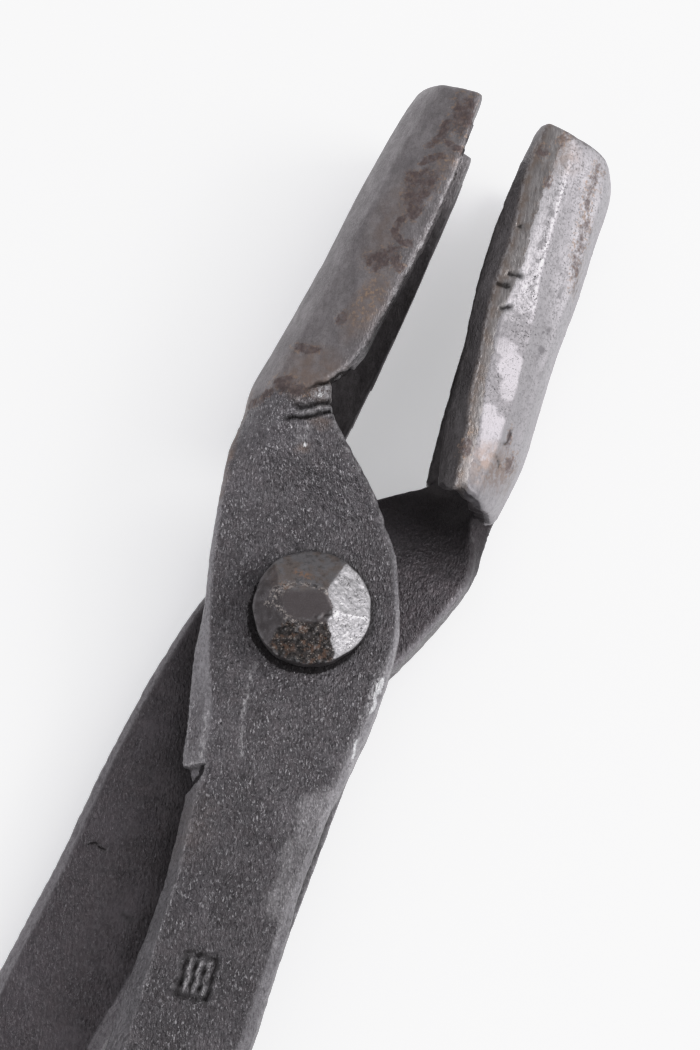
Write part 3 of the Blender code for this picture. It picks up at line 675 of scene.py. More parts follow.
        # painted shade: a dark band on the lower rein beside the upper half's edge
        beside = -along([(r[0], r[1]) for r in UPPER_PLAN], y) - p[:, 0]
        tone += 0.32 * (1 - jaw) * step(5.0, 0.8, beside) * step(-4, -1, beside) * step(-78, -60, y) * step(6, -4, y) * (n[:, 2] > 0.2)
        fields["crack_and_shadow"] = np.clip(1 - (1 - np.maximum(stroke(warp, [(-20.0, -50.4), (-18.2, -49.6), (-16.6, -50.0)], 1.0) - 0.12,
                                                     stroke(warp, [(-14.8, -8.6), (-13.4, -10.4), (-13.0, -12.6)], 1.0))) / 1.5, 0, 1) * (n[:, 2] > 0.5)
    # keep the lapped faces and the hole true, so that the halves stay clear of each other
    meet = step(1.2, 0.3, np.abs(hz)) * (y < 26)
    d = np.where(meet > 0, np.minimum(d, 0.02), d) * (1 - 0.7 * meet)
    seat = step(10.5, 9.8, np.hypot(p[:, 0], p[:, 1]))
    d = d * (1 - seat) + np.minimum(d, -0.06) * seat
    s.co = p + n * d[:, None]
    s.co = s.co + 0.12 * (s.spread(s.co) - s.co)

    ridge_field = s.curve(2)
    fields["edge"] = step(0.10, 0.75, ridge_field)
    if upper:
        fields["edge"] = fields["edge"] * (1 - 0.6 * jaw * step(66, 54, y) * step(-20, -15, p[:, 0]))
    # darkened in concave creases, with the dark marks, which include the painted shade ring round the rivet
    fields["groove_and_shade"] = np.clip(step(0.06, 0.6, -ridge_field) + dark, 0, 1)
    fields["bright"] = np.clip(bright, 0, 1)
    # round the sides and underneath, the jaw's smoother scale fades in instead of starting at a step
    faded = step(-5.0, 5.0, y - JAW_BASE - 2.0 + 3.0 * noise(p, 4.5, 61, 2))
    facing = step(3.0, 6.0, hz if upper else -hz)
    fields["jaw"] = facing * jaw + (1 - facing) * faded
    # side: the bar's sloped faces lighter, as wear and as a painted reflection of the floor
    fields["side"] = s.blur((1 - jaw) * step(22, 14, y) * step(0.93, 0.80, n[:, 2]) * step(0.0, 0.25, n[:, 2]), 1)
    # inside: the trough's inner faces and the neck under the free flank's foot darkened towards black, painted shade
    fields["inside"] = np.clip(jaw * (1 - outer) * step(0.3, 1.6, BORE_Z - 0.6 - np.abs(hz)) * step(93, 70, y) * 0.62 + 0.72 * shade, 0, 1)
    fields["tone"] = np.clip(tone, 0, 1)
    return s.finish(name + "_forging", fields, material, name, [name])


# ---- the rivet ----------------------------------------------------------------------------
CROWN = [(43, 2.75, 34), (-12, 3.9, 36), (-62, 3.1, 27), (-92, 4.0, 28), (215, 4.6, 35), (111, 1.9, 31), (160, 5.2, 37)]
CROWN_TOP = UP_TOP + GAP + HEAD_H


def facet_heights(x, y, facets, top):
    """Height of each hammered plane over the points, one row per plane."""
    rows = []
    for az, reach, slope in facets:
        a = math.radians(az)
        rows.append(top - math.tan(math.radians(slope)) * (x * math.cos(a) + y * math.sin(a) - reach))
    return np.array(rows)


def make_rivet(material):
    bm = bmesh.new()
    base = UP_TOP + GAP
    segments = 120
    rings = []
    theta = np.arange(segments) / segments * math.tau
    wobble = 0.12 * np.sin(3 * theta + 0.8) + 0.07 * np.sin(7 * theta + 2.0) + 0.05 * np.sin(13 * theta)

    def crown(r):
        x, y = r * np.cos(theta), r * np.sin(theta)
        h = np.minimum(facet_heights(x, y, CROWN, CROWN_TOP).min(0), CROWN_TOP - 0.02)
        return [(a, b, max(c, base + 1.15)) for a, b, c in zip(x, y, h)]

    def ring(r, z):
        return [(r * math.cos(t), r * math.sin(t), z) for t in theta]

    for i in range(1, 34):
        rings.append(crown((9.6 + wobble) * i / 33 if i > 20 else np.full(segments, 9.6 * i / 33)))
    edge = [c[2] for c in rings[-1]]
    rings.append([((9.95 + w) * math.cos(t), (9.95 + w) * math.sin(t), min(z - 0.3, base + 3.0)) for t, w, z in zip(theta, wobble, edge)])
    rings.append([((9.98 + w) * math.cos(t), (9.98 + w) * math.sin(t), base + 0.75) for t, w in zip(theta, wobble)])
    rings.append(ring(9.5, base + 0.25))
    rings.append(ring(9.0, base - 0.02))
    rings.append(ring(SHANK_R, base - 0.02))
    low = HEAD_H
    rings.append(ring(SHANK_R, low + 0.02))
    rings.append(ring(9.1, low + 0.02))
    rings.append(ring(9.6, low - 0.3))
    rings.append(ring(9.95, low - 0.9))
    for r, z in ((9.85, low - 1.7), (9.3, low - 2.7), (8.4, low - 3.7), (7.2, low - 4.7), (6.0, low - 5.6), (4.8, 0.05), (4.4, 0.0), (1.5, 0.0)):
        rings.append(ring(r, z))
    loops = [[bm.verts.new(p) for p in r] for r in rings]
    for a, b in zip(loops, loops[1:]):
        for k in range(segments):
            m = (k + 1) % segments
            bm.faces.new((a[k], a[m], b[m], b[k]))
    bm.faces.new(loops[0])
    bm.faces.new(loops[-1][::-1])
    voxel = 0.2
    co, quads = weld(bm, voxel, "rivet")
    s = Skin(co, quads)
    s.relax(2)
    p, n = s.co, s.normals()
    heights = facet_heights(p[:, 0] + 0.35 * noise(p, 1.4, 98, 2), p[:, 1] + 0.35 * noise(p, 1.4, 99, 2), CROWN, CROWN_TOP)
    which = heights.argmin(0)
    on_top = (p[:, 2] > base + 1.0) & (n[:, 2] > 0.2)
    flat = step(0.35, -0.1, CROWN_TOP - heights.min(0)) * on_top
    right = np.isin(which, (0, 1)) * on_top * (1 - flat)
    lower = np.isin(which, (2, 3)) * on_top * (1 - flat)
    right, lower, flat = s.blur(right, 2), s.blur(lower, 3), s.blur(flat, 2)
    under = p[:, 2] < HEAD_H
    d = 0.05 * noise(p, 3.0, 91, 2) + 0.02 * (1 - flat) * noise(p, 0.9, 92, 2)
    d += lower * (0.14 * noise(p, 1.0, 93, 2) - 0.10 * step(0.3, 0.8, noise(p, 1.3, 94)))
    d -= 0.05 * right * step(0.35, 0.8, noise(p, 0.8, 95))
    chip = np.clip(stroke(p, [(3.9, -0.4), (2.3, -1.8), (0.9, -3.4), (-0.8, -4.3)], 0.8), 0, 1) * on_top
    d -= chip * (0.12 + 0.22 * noise(p, 0.8, 96))
    lowhead = under * step(0.1, 0.6, np.abs(p[:, 2]))
    d = np.where(under, 0.10 * lowhead * noise(p, 3.2, 97, 2), d)
    shank = (np.hypot(p[:, 0], p[:, 1]) < SHANK_R + 0.4) & (p[:, 2] > HEAD_H) & (p[:, 2] < base)
    d = np.where(shank | (n[:, 2] < -0.7), 0, d)
    s.co = p + n * d[:, None]
    curve = s.curve(2) * VOXEL / voxel
    top_facet = s.blur(np.isin(which, (5,)) * on_top * (1 - flat), 2)
    fields = {
        "facet": top_facet,
        "edge": step(0.05, 0.4, curve), "groove_and_shade": np.clip(step(0.08, 0.6, -curve) + 0.3 * chip, 0, 1),
        "ground": right, "rust": lower, "band": flat,
        "warm": np.clip(1.3 * blob(p, -6.0, 3.0, 4.0, 4.0), 0, 1) * on_top,
        # bright: a painted highlight along the rim on the head's left side
        "bright": np.clip(1 - np.abs(np.hypot(p[:, 0], p[:, 1]) - 9.9) / 0.5, 0, 1) * (p[:, 2] > base + 0.5) * step(-0.3, 0.6, -(p[:, 0] * 0.92 + p[:, 1] * 0.39) / 10),
        # lip: painted glints, light specks with dark ones among them, at the left of the crown's flat
        "lip": np.clip(1.4 * np.maximum.reduce([stroke(p, [(-6.6, -2.4), (-6.0, -0.2), (-4.6, 1.6)], 1.3), stroke(p, [(-4.2, 1.9), (-1.2, 2.9), (2.0, 2.6)], 0.6),
                                              stroke(p, [(-5.0, -2.6), (-2.8, -4.0), (0.6, -4.2)], 0.7)]), 0, 1) * on_top * (1 - right),
        "gold": np.clip(1.5 * np.maximum(stroke(p, [(-4.6, 4.4), (-2.0, 4.2)], 0.8), 0.8 * blob(p, -5.4, 1.0, 1.3, 1.0)), 0, 1) * on_top,
        "polish": step(0.5, 1.0, right) * step(-3, 3, p[:, 0] * 0.92 + p[:, 1] * 0.39 - 3.0),
    }
    return s.finish("rivet_head_and_shank", fields, material, "lower_half", ["rivet"])


# ---- materials ------------------------------------------------------------------------------
def linear(r, g, b):
    """sRGB 0-255 to linear."""
    return tuple((c / 12.92 if c <= 0.04045 else ((c + 0.055) / 1.055) ** 2.4) for c in (r / 255, g / 255, b / 255)) + (1.0,)


class Graph:
    def __init__(self, name):
        self.material = bpy.data.materials.new(name)
        self.material.use_nodes = True
        self.tree = self.material.node_tree
        self.shader = self.tree.nodes["Principled BSDF"]
        self.shader.inputs["Specular IOR Level"].default_value = 0.8
        coord = self.node("ShaderNodeTexCoord")
        self.mm = self.node("ShaderNodeMapping")
        self.mm.inputs["Scale"].default_value = (1000, 1000, 1000)
        self.mm.inputs["Rotation"].default_value = (0, 0, math.radians(-20))
        self.link(coord.outputs["Object"], self.mm.inputs["Vector"])

    def node(self, kind, **props):
        n = self.tree.nodes.new(kind)
        for k, v in props.items():
            setattr(n, k, v)
        return n

    def link(self, a, b):
        self.tree.links.new(a, b)

    def put(self, socket, value):
        if isinstance(value, bpy.types.NodeSocket):
            self.link(value, socket)
        else:
            socket.default_value = value

    def noise(self, per_mm, detail=2.0, rough=0.5, stretch=None, seed=0.0, distort=0.0):
        n = self.node("ShaderNodeTexNoise")
        vec = self.node("ShaderNodeMapping")
        vec.inputs["Location"].default_value = (seed * 3.1, seed * 1.7, seed)
        vec.inputs["Scale"].default_value = stretch or (1, 1, 1)
        self.link(self.mm.outputs[0], vec.inputs["Vector"])
        self.link(vec.outputs[0], n.inputs["Vector"])
        n.inputs["Scale"].default_value = per_mm
        n.inputs["Detail"].default_value = detail
        n.inputs["Roughness"].default_value = rough
        n.inputs["Distortion"].default_value = distort
        return n.outputs["Fac"]

    def attr(self, name):
        n = self.node("ShaderNodeAttribute", attribute_name=name)
        return n.outputs["Fac"]

    def math(self, op, a, b=0.0, clamp=False):
        n = self.node("ShaderNodeMath", operation=op, use_clamp=clamp)
        self.put(n.inputs[0], a)
        self.put(n.inputs[1], b)
        return n.outputs[0]

    def ramp(self, value, lo, hi, a=0.0, b=1.0, smooth=True):
        n = self.node("ShaderNodeMapRange", interpolation_type="SMOOTHSTEP" if smooth else "LINEAR")
        self.put(n.inputs["Value"], value)
        for k, v in (("From Min", lo), ("From Max", hi), ("To Min", a), ("To Max", b)):
            n.inputs[k].default_value = v
        return n.outputs["Result"]

    def mix(self, fac, a, b, blend="MIX"):
        n = self.node("ShaderNodeMix", data_type="RGBA", blend_type=blend)
        self.put(n.inputs["Factor"], fac)
        self.put(n.inputs[6], a)
        self.put(n.inputs[7], b)
        return n.outputs[2]

    def blend(self, fac, a, b):
        n = self.node("ShaderNodeMix", data_type="FLOAT")
        self.put(n.inputs["Factor"], fac)
        self.put(n.inputs[2], a)
        self.put(n.inputs[3], b)
        return n.outputs[0]

    def bump(self, height, distance, strength=1.0, under=None):
        n = self.node("ShaderNodeBump")
        n.inputs["Strength"].default_value = strength
        n.inputs["Distance"].default_value = distance * MM
        self.put(n.inputs["Height"], height)
        if under is not None:
            self.link(under, n.inputs["Normal"])
        return n.outputs["Normal"]


def forging(name, base, speck_and_glint_colour, tint):
    """Forge scale over steel: granular black oxide with pale specks that are partly bare metal and partly painted
    glints, worn bright at the edges, rusted in patches, ground to bare metal where the masks say so, and darkened by
    painted shade in hollows and in the trough."""
    g = Graph(name)
    broad = g.noise(0.10, 3, 0.55, seed=1 + tint)
    cloud = g.noise(0.45, 3, 0.6, seed=2 + tint)
    grain = g.noise(1.7, 3, 0.65, stretch=(1.25, 0.75, 1.25), seed=3 + tint)
    fine = g.noise(4.2, 2, 0.6, stretch=(1.2, 0.8, 1.2), seed=4 + tint)
    jaw, edge, groove_and_shade = g.attr("jaw"), g.attr("edge"), g.attr("groove_and_shade")
    rust_mask, warm, gold = g.attr("rust"), g.attr("warm"), g.attr("gold")
    ground, band, polish, bright, lip = g.attr("ground"), g.attr("band"), g.attr("polish"), g.attr("bright"), g.attr("lip")

    # black scale
    dark = g.mix(g.ramp(grain, 0.34, 0.66), linear(base[0] - 12, base[1] - 12, base[2] - 12), linear(base[0] + 7, base[1] + 7, base[2] + 7))
    dark = g.mix(g.ramp(cloud, 0.35, 0.7, 0.0, 0.5), dark, linear(base[0] + 6, base[1] + 3, base[2] + 3))
    dark = g.mix(g.ramp(broad, 0.42, 0.7, 0.0, 0.35), dark, linear(base[0] + 14, base[1] + 13, base[2] + 15))
    spark = g.noise(1.0, 2.5, 0.6, stretch=(3.4, 1.5, 3.4), seed=6 + tint, distort=0.8)
    patchy = g.ramp(g.noise(0.13, 4, 0.62, seed=8 + tint), 0.38, 0.62, 0.08 if tint else 0.4, 0.45 if tint else 1.0)
    # pale specks: bare metal specks together with painted glints
    specks_and_glints = g.math("MULTIPLY", g.ramp(spark, 0.575, 0.655), patchy)
    specks_and_glints = g.math("MULTIPLY", specks_and_glints, g.blend(jaw, 0.8, 0.22))
    relief = g.noise(1.2, 2.5, 0.6, stretch=(2.1, 0.95, 2.1), seed=7 + tint, distort=0.5)
    # painted shade in the hollows of the scale's relief
    hollow_shade = g.math("MULTIPLY", g.ramp(relief, 0.34, 0.47, 1.0, 0.0), g.blend(jaw, 0.22 if tint else 0.6, 0.15))
    dark = g.mix(hollow_shade, dark, linear(46, 44, 46))
    colour = g.mix(specks_and_glints, dark, linear(*speck_and_glint_colour))
    # sloped side faces lighter: wear plus a painted reflection of the floor
    side = g.attr("side")
    colour = g.mix(g.math("MULTIPLY", side, g.ramp(grain, 0.3, 0.6, 0.35, 0.95)), colour, linear(base[0] + 54, base[1] + 54, base[2] + 55))
    # the jaw is smoother and a little bluer
    smooth_scale = g.mix(g.ramp(g.noise(0.3, 4, 0.6, stretch=(1.6, 0.5, 1.6), seed=9 + tint), 0.35, 0.7), linear(110, 105, 107), linear(136, 131, 133))
    smooth_scale = g.mix(g.ramp(fine, 0.5, 0.70, 0.0, 0.45), smooth_scale, linear(76, 72, 73))
    smooth_scale = g.mix(g.ramp(g.noise(0.8, 4, 0.7, seed=11 + tint), 0.42, 0.64, 0.0, 0.45), smooth_scale, linear(88, 85, 84))
    smooth_scale = g.mix(g.ramp(fine, 0.50, 0.36, 0.0, 0.3), smooth_scale, linear(134, 130, 132))
    colour = g.mix(g.math("MULTIPLY", jaw, 0.88), colour, smooth_scale)
    colour = g.mix(g.attr("tone"), colour, linear(40, 38, 39))
    # soft warm tint, then patches of dark rust with crisp borders
    colour = g.mix(g.math("MULTIPLY", warm, g.ramp(cloud, 0.3, 0.65, 0.25, 0.85)), colour, linear(116, 100, 92))
    colour = g.mix(g.math("MULTIPLY", gold, g.ramp(g.noise(1.3, 3, 0.7, seed=12), 0.49, 0.61, 0.0, 0.95)), colour,
                   linear(84, 82, 84) if tint else linear(148, 126, 109))
    border = g.math("ADD", rust_mask, g.ramp(g.noise(0.9, 4, 0.65, seed=14), 0.2, 0.8, -0.22, 0.22, smooth=False))
    rust = g.math("MULTIPLY", g.ramp(border, 0.45, 0.66), g.ramp(g.noise(0.7, 4, 0.7, seed=16), 0.36, 0.58, 0.1 if tint else 0.4, 0.85 if tint else 0.95))
    halo = g.math("MULTIPLY", g.ramp(border, 0.28, 0.45), g.ramp(g.noise(1.6, 3, 0.7, seed=15), 0.50, 0.64, 0.0, 0.8))
    rust_colour = g.mix(g.ramp(grain, 0.35, 0.7), linear(76, 65, 65), linear(94, 80, 79))
    rust_colour = g.mix(g.ramp(g.noise(0.6, 3, 0.6, seed=17), 0.55, 0.75, 0.0, 0.7), rust_colour, linear(112, 92, 80))
    # ground steel
    streak = g.noise(1.1, 3, 0.6, stretch=(2.6, 0.35, 2.6), seed=20)
    mottled = g.noise(1.5, 4, 0.7, seed=21)
    steel = g.mix(g.ramp(streak, 0.3, 0.7), linear(130, 127, 130), linear(146, 143, 146))
    dull = g.attr("dull")
    steel = g.mix(dull, linear(162, 159, 162), g.mix(g.ramp(dull, 0.5, 1.0), steel, linear(112, 109, 112)))
    steel = g.mix(g.math("MULTIPLY", g.ramp(mottled, 0.50, 0.64), g.blend(gold, 0.3, 0.7)), steel, linear(104, 101, 104))
    pit = g.math("MULTIPLY", g.ramp(g.noise(2.6, 2, 0.6, seed=23), 0.60, 0.68), g.blend(gold, 0.25, 1.0))
    steel = g.mix(pit, steel, linear(50, 48, 51))
    steel = g.mix(g.ramp(g.math("ADD", polish, g.ramp(mottled, 0.3, 0.7, 0.08, -0.08, smooth=False)), 0.42, 0.66, 0.0, 0.8), steel, linear(134, 131, 134))
    band_colour = g.mix(g.ramp(streak, 0.35, 0.65), linear(104, 100, 100), linear(130, 126, 126))
    band_colour = g.mix(g.ramp(cloud, 0.5, 0.7, 0.0, 0.6), band_colour, linear(104, 92, 85))
    tan = g.math("MULTIPLY", g.attr("tan"), g.ramp(cloud, 0.35, 0.6, 0.4, 1.0))
    ragged = g.math("ADD", ground, g.ramp(g.noise(1.2, 4, 0.7, seed=25), 0.3, 0.7, -0.3, 0.3, smooth=False))
    is_ground = g.math("MULTIPLY", g.ramp(ragged, 0.45, 0.6), g.ramp(ground, 0.02, 0.2))
    colour = g.mix(band, colour, band_colour)
    colour = g.mix(tan, colour, linear(108, 96, 89))
    colour = g.mix(is_ground, colour, steel)
    blotch = g.ramp(g.noise(0.33, 5, 0.68, seed=22), 0.55, 0.63)
    colour = g.mix(g.math("MULTIPLY", g.math("MULTIPLY", blotch, is_ground), g.blend(gold, 0.12, 0.6)), colour, linear(104, 101, 104))
    stain = g.math("MULTIPLY", g.math("MULTIPLY", warm, is_ground), g.ramp(g.noise(0.8, 4, 0.7, seed=18), 0.36, 0.6, 0.15, 0.85))
    colour = g.mix(stain, colour, linear(116, 102, 95))
    colour = g.mix(halo, colour, linear(138, 118, 104))
    colour = g.mix(rust, colour, rust_colour)
    # worn edges, bright lips with painted glints and highlights, and creases, laps and scratches darkened together with
    # the painted shade and shadow round the rivet
    wear = g.math("MULTIPLY", edge, g.ramp(g.noise(0.9, 4, 0.7, seed=27 + tint), 0.38, 0.60))
    wear = g.math("MULTIPLY", wear, g.blend(is_ground, g.blend(jaw, 0.9, 0.2), 0.15))
    shine = g.math("MAXIMUM", wear, g.math("MULTIPLY", lip, g.ramp(g.noise(1.4, 3, 0.7, stretch=(1.3, 0.8, 1.3), seed=29), 0.44, 0.56)))
    shine = g.math("MAXIMUM", shine, g.math("MULTIPLY", bright, g.ramp(grain, 0.3, 0.6, 0.25, 0.6)))
    colour = g.mix(shine, colour, linear(170, 167, 170))
    crack_and_shadow = g.ramp(g.math("ADD", g.attr("crack_and_shadow"), g.ramp(fine, 0.3, 0.7, -0.10, 0.10, smooth=False)), 0.74, 0.83)
    groove_and_shade = g.math("MAXIMUM", groove_and_shade, crack_and_shadow)
    colour = g.mix(g.math("MULTIPLY", groove_and_shade, 0.85), colour, linear(16, 14, 14))
    # painted highlights: the near-white specks and streaks of the spot field
    spot = g.ramp(g.math("ADD", g.attr("spot"), g.ramp(fine, 0.3, 0.7, -0.12, 0.12, smooth=False)), 0.66, 0.76)
    colour = g.mix(spot, colour, linear(215, 214, 216))
    # painted shade inside the trough and under the free flank's foot
    inside = g.attr("inside")
    colour = g.mix(g.math("MULTIPLY", inside, 0.85), colour, linear(34, 31, 32))
    g.link(colour, g.shader.inputs["Base Color"])
    metal = g.blend(is_ground, 0.9, 0.97)
    metal = g.blend(shine, metal, 0.85)
    metal = g.blend(rust, metal, 0.75)
    metal = g.blend(groove_and_shade, metal, 0.0)
    g.link(metal, g.shader.inputs["Metallic"])
    g.link(g.blend(groove_and_shade, 0.8, 0.04), g.shader.inputs["Specular IOR Level"])
    rough = g.blend(jaw, g.ramp(grain, 0.3, 0.7, 0.42, 0.27), g.ramp(cloud, 0.3, 0.7, 0.46, 0.36))
    rough = g.blend(is_ground, rough, g.ramp(mottled, 0.4, 0.7, 0.44, 0.56))
    rough = g.blend(g.math("MULTIPLY", g.ramp(polish, 0.42, 0.66), is_ground), rough, 0.43)
    rough = g.blend(shine, rough, 0.33)
    rough = g.blend(rust, rough, 0.58)
    rough = g.blend(groove_and_shade, rough, 0.85)
    rough = g.blend(inside, rough, 0.7)
    g.link(rough, g.shader.inputs["Roughness"])
    height = g.math("ADD", g.math("MULTIPLY", relief, 1.2), g.math("ADD", g.math("MULTIPLY", spark, 0.7), g.math("MULTIPLY", fine, 0.18)))
    height = g.math("MULTIPLY", height, g.math("ADD", g.math("MULTIPLY", patchy, 0.8), 0.25))
    soft = g.math("ADD", g.blend(jaw, 0.7 if tint else 1.0, 0.17), g.math("MULTIPLY", g.attr("tone"), 0.5))
    soft = g.blend(is_ground, soft, 0.05)
    soft = g.blend(g.ramp(polish, 0.4, 0.7), soft, 0.03)
    height = g.math("MULTIPLY", height, soft)
    normal = g.bump(height, 0.8, 1.0)
    height = g.math("SUBTRACT", g.math("MULTIPLY", is_ground, g.ramp(streak, 0.3, 0.7, 0.0, 0.25)), g.math("MULTIPLY", pit, is_ground))
    height = g.math("SUBTRACT", height, g.math("MULTIPLY", rust, 0.4))
    normal = g.bump(height, 0.045, 0.8, normal)
    g.link(normal, g.shader.inputs["Normal"])
    return g.material


def hammered():
    g = Graph("hammered_rivet")
    edge, groove_and_shade, right, lower, flat = g.attr("edge"), g.attr("groove_and_shade"), g.attr("ground"), g.attr("rust"), g.attr("band")
    warm, bright, polish = g.attr("warm"), g.attr("bright"), g.attr("polish")
    grain = g.noise(1.8, 3, 0.6, seed=31)
    fine = g.noise(4.0, 3, 0.65, seed=32)
    cloud = g.noise(0.35, 3, 0.55, seed=33)
    colour = g.mix(g.ramp(cloud, 0.35, 0.65), linear(64, 60, 61), linear(88, 84, 86))
    colour = g.mix(g.ramp(fine, 0.55, 0.75, 0.0, 0.4), colour, linear(116, 113, 116))
    colour = g.mix(g.math("MULTIPLY", warm, g.ramp(grain, 0.4, 0.65, 0.2, 0.7)), colour, linear(98, 84, 77))
    colour = g.mix(flat, colour, g.mix(g.ramp(fine, 0.4, 0.7), linear(80, 74, 75), linear(88, 83, 84)))
    facet = g.attr("facet")
    colour = g.mix(facet, colour, g.mix(g.ramp(g.noise(0.5, 3, 0.6, seed=39), 0.42, 0.6), linear(110, 108, 110), linear(106, 98, 95)))
    smudge = g.noise(0.9, 4, 0.7, seed=43, distort=0.4)
    colour = g.mix(g.math("MULTIPLY", g.ramp(smudge, 0.50, 0.66, 0.0, 0.45), g.blend(flat, 1.0, 0.4)), colour, linear(58, 54, 54))
    colour = g.mix(g.math("MULTIPLY", g.ramp(smudge, 0.44, 0.34, 0.0, 0.35), g.blend(flat, 1.0, 0.2)), colour, linear(120, 117, 121))
    lumps = g.noise(1.1, 3, 0.65, seed=34, distort=0.3)
    crust = g.mix(g.ramp(lumps, 0.38, 0.60), linear(20, 18, 18), linear(56, 51, 50))
    crust = g.mix(g.ramp(g.noise(0.7, 3, 0.6, seed=35), 0.52, 0.66, 0.0, 0.75), crust, linear(98, 76, 64))
    crust = g.mix(g.ramp(g.noise(2.3, 2, 0.6, seed=40), 0.60, 0.68, 0.0, 0.9), crust, linear(132, 124, 118))
    colour = g.mix(lower, colour, crust)
    pit = g.ramp(g.noise(3.0, 3, 0.65, seed=36), 0.62, 0.72)
    vein = g.math("ABSOLUTE", g.math("SUBTRACT", g.noise(0.55, 3, 0.6, seed=38, distort=0.8), 0.5))
    pit = g.math("MAXIMUM", pit, g.math("MULTIPLY", g.ramp(vein, 0.004, 0.016, 1.0, 0.0), g.ramp(cloud, 0.45, 0.55)))
    steel = g.mix(g.ramp(grain, 0.35, 0.7), linear(158, 156, 158), linear(136, 134, 137))
    steel = g.mix(g.math("MULTIPLY", pit, 0.8), steel, linear(52, 49, 51))
    steel = g.mix(g.ramp(polish, 0.2, 0.8, 0.55, 0.0), steel, linear(112, 109, 112))
    colour = g.mix(g.math("MULTIPLY", g.attr("gold"), g.ramp(grain, 0.42, 0.58, 0.0, 0.8)), colour, linear(142, 112, 92))
    # painted glints: light specks along the lip strokes, with dark specks among them
    colour = g.mix(g.math("MULTIPLY", g.attr("lip"), g.ramp(g.noise(2.0, 3, 0.65, seed=41), 0.50, 0.60)), colour, linear(158, 150, 146))
    colour = g.mix(g.math("MULTIPLY", g.attr("lip"), g.ramp(g.noise(1.7, 3, 0.65, seed=42), 0.54, 0.64, 0.0, 0.8)), colour, linear(40, 36, 36))
    bare = g.math("MULTIPLY", g.ramp(g.math("ADD", right, g.ramp(fine, 0.3, 0.7, -0.2, 0.2)), 0.42, 0.58), g.ramp(right, 0.02, 0.3))
    colour = g.mix(bare, colour, steel)
    # shine: worn edges, plus the painted highlight on the rim's left side
    shine = g.math("MAXIMUM", g.math("MULTIPLY", edge, g.ramp(grain, 0.42, 0.58, 0.1, 0.75)), g.math("MULTIPLY", bright, g.ramp(grain, 0.35, 0.55, 0.0, 0.35)))
    colour = g.mix(shine, colour, linear(140, 138, 140))
    colour = g.mix(g.math("MULTIPLY", groove_and_shade, 0.75), colour, linear(12, 10, 10))
    g.link(colour, g.shader.inputs["Base Color"])
    metal = g.blend(bare, 0.9, 0.97)
    metal = g.blend(groove_and_shade, metal, 0.2)
    g.link(g.blend(groove_and_shade, 0.8, 0.1), g.shader.inputs["Specular IOR Level"])
    metal = g.blend(lower, metal, 0.8)
    metal = g.blend(shine, metal, 0.85)
    g.link(metal, g.shader.inputs["Metallic"])
    rough = g.blend(flat, 0.48, 0.40)
    rough = g.blend(lower, rough, 0.42)
    rough = g.blend(bare, rough, g.ramp(grain, 0.3, 0.7, 0.30, 0.42))
    g.link(rough, g.shader.inputs["Roughness"])
    height = g.math("MULTIPLY", g.math("ADD", grain, g.math("MULTIPLY", fine, 0.5)), g.blend(flat, g.blend(lower, 0.7, 1.3), 0.2))
    height = g.math("ADD", height, g.math("MULTIPLY", g.math("MULTIPLY", lumps, lower), 3.0))
    height = g.math("SUBTRACT", height, g.math("MULTIPLY", g.math("MULTIPLY", pit, bare), 0.5))
    g.link(g.bump(height, 0.12, 1.0), g.shader.inputs["Normal"])
    return g.material


# ---- build ----------------------------------------------------------------------------------
scale_upper = forging("dark_forge_scale", (91, 88, 91), (190, 187, 191), 0)
scale_lower = forging("worn_forge_scale", (74, 70, 73), (140, 137, 141), 1)
make_half("upper_half", UPPER_PLAN, UPPER_BIT, 1, scale_upper)
make_half("lower_half", LOWER_PLAN, LOWER_BIT, -1, scale_lower)
make_rivet(hammered())

# ---- stage ----------------------------------------------------------------------------------
# The tongs rest on the rivet's foot and the two rein ends, so the floor is the plane through them.
slope = math.atan2(9.75, 300.5 - 4.6)
floor_mesh = bpy.data.meshes.new("floor")
half_width = 2.2
floor_mesh.from_pydata([(-half_width, -half_width, 0), (half_width, -half_width, 0), (half_width, half_width, 0), (-half_width, half_width, 0)], [], [(0, 1, 2, 3)])
floor = bpy.data.objects.new("floor", floor_mesh)
floor.location = (0, -4.6 * MM, -0.0001)
floor.rotation_euler = (-slope, 0, 0)
bpy.context.scene.collection.objects.link(floor)
paper = Graph("paper")
tone = paper.mix(paper.ramp(paper.noise(0.004, 2), 0.3, 0.7), (0.85, 0.85, 0.86, 1), (0.87, 0.87, 0.88, 1))
paper.link(tone, paper.shader.inputs["Base Color"])
paper.link(tone, paper.shader.inputs["Emission Color"])
paper.shader.inputs["Emission Strength"].default_value = 0.42
paper.shader.inputs["Roughness"].default_value = 0.9
paper.shader.inputs["Specular IOR Level"].default_value = 0.1
floor_mesh.materials.append(paper.material)

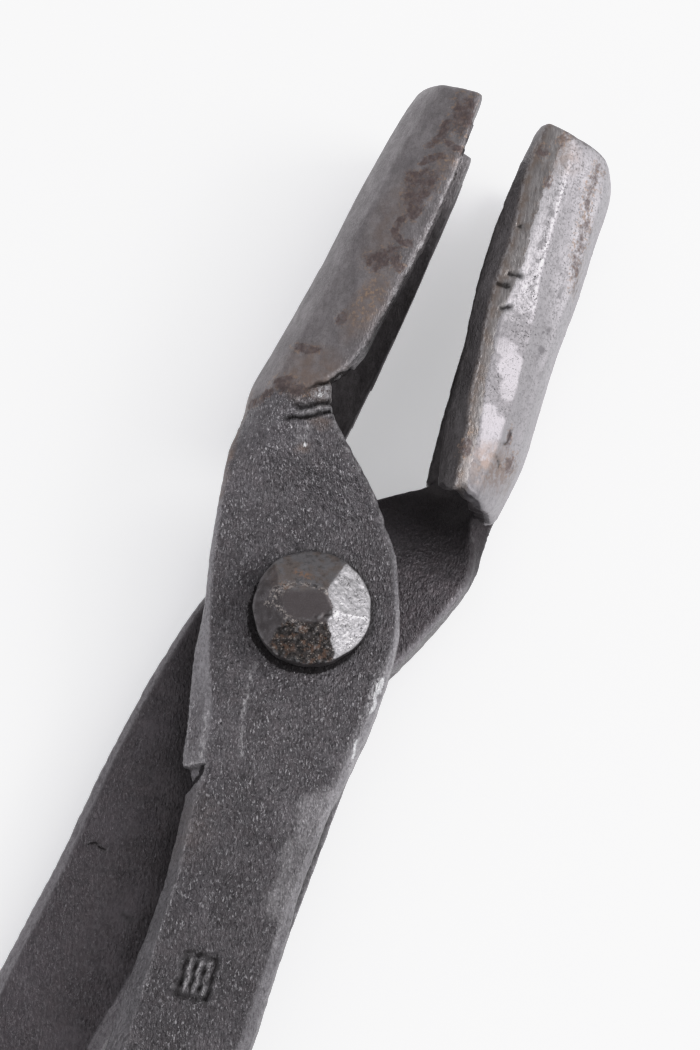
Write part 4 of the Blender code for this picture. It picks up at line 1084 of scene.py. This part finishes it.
# View frame: the camera looks down on the tongs from the reins' side, with the jaws to the upper right.
PSI, TAU = math.radians(23.0), math.radians(14.5)
right = Vector((math.cos(PSI), math.sin(PSI), 0))
ahead = Vector((-math.sin(PSI), math.cos(PSI), 0))
look = (ahead * math.sin(TAU) + Vector((0, 0, -math.cos(TAU)))).normalized()
up = right.cross(look)
camera = bpy.data.cameras.new("camera")
camera.lens, camera.sensor_width, camera.clip_start, camera.clip_end = 2600 / 1050 * 36, 36, 0.02, 20
view = bpy.data.objects.new("camera", camera)
view.matrix_world = Matrix.Translation(Vector((43.46, -85.93, 437.63 + MID)) * MM) @ Matrix((
    (right.x, up.x, -look.x, 0), (right.y, up.y, -look.y, 0), (right.z, up.z, -look.z, 0), (0, 0, 0, 1)))
bpy.context.scene.collection.objects.link(view)
bpy.context.scene.camera = view


def softbox(name, azimuth, elevation, distance, width, height, power, colour=(1, 1, 1)):
    """An area light that faces the rivet. Azimuth is from the picture's right, turning up the picture."""
    a, e = math.radians(azimuth), math.radians(elevation)
    direction = right * math.cos(a) * math.cos(e) + ahead * math.sin(a) * math.cos(e) + Vector((0, 0, math.sin(e)))
    light = bpy.data.lights.new(name, "AREA")
    light.shape, light.size, light.size_y = "RECTANGLE", width, height
    light.energy, light.color = power, colour
    obj = bpy.data.objects.new(name, light)
    obj.location = direction * distance
    obj.rotation_euler = (-direction).to_track_quat("-Z", "Y").to_euler()
    bpy.context.scene.collection.objects.link(obj)
    return obj


softbox("key_right", 2, 33, 1.15, 0.6, 0.4, 5.4)
softbox("wall_right", 2, 27, 1.2, 2.2, 1.3, 9.2)
world = bpy.data.worlds.new("studio")
world.use_nodes = True
world.node_tree.nodes["Background"].inputs["Color"].default_value = (0.985, 0.985, 1.0, 1)
world.node_tree.nodes["Background"].inputs["Strength"].default_value = 0.85
bpy.context.scene.world = world
bpy.context.scene.view_settings.view_transform = "Standard"
bpy.context.scene.view_settings.look = "None"
# The film's shoulder: straight up to mid-grey, then an easy roll-off to the white of the floor.
shoulder = bpy.context.scene.view_settings.curve_mapping
shoulder.white_level = (2.5, 2.5, 2.5)
curve = shoulder.curves[3]
curve.points[0].location, curve.points[1].location = (0.0, 0.0), (1.0, 0.985)
for came_in, goes_out in ((0.1, 0.096), (0.2, 0.187), (0.35, 0.315), (0.55, 0.475), (0.75, 0.66), (0.95, 0.83), (1.15, 0.905), (1.5, 0.95)):
    curve.points.new(came_in / 2.5, goes_out)
shoulder.update()
bpy.context.scene.view_settings.use_curve_mapping = True
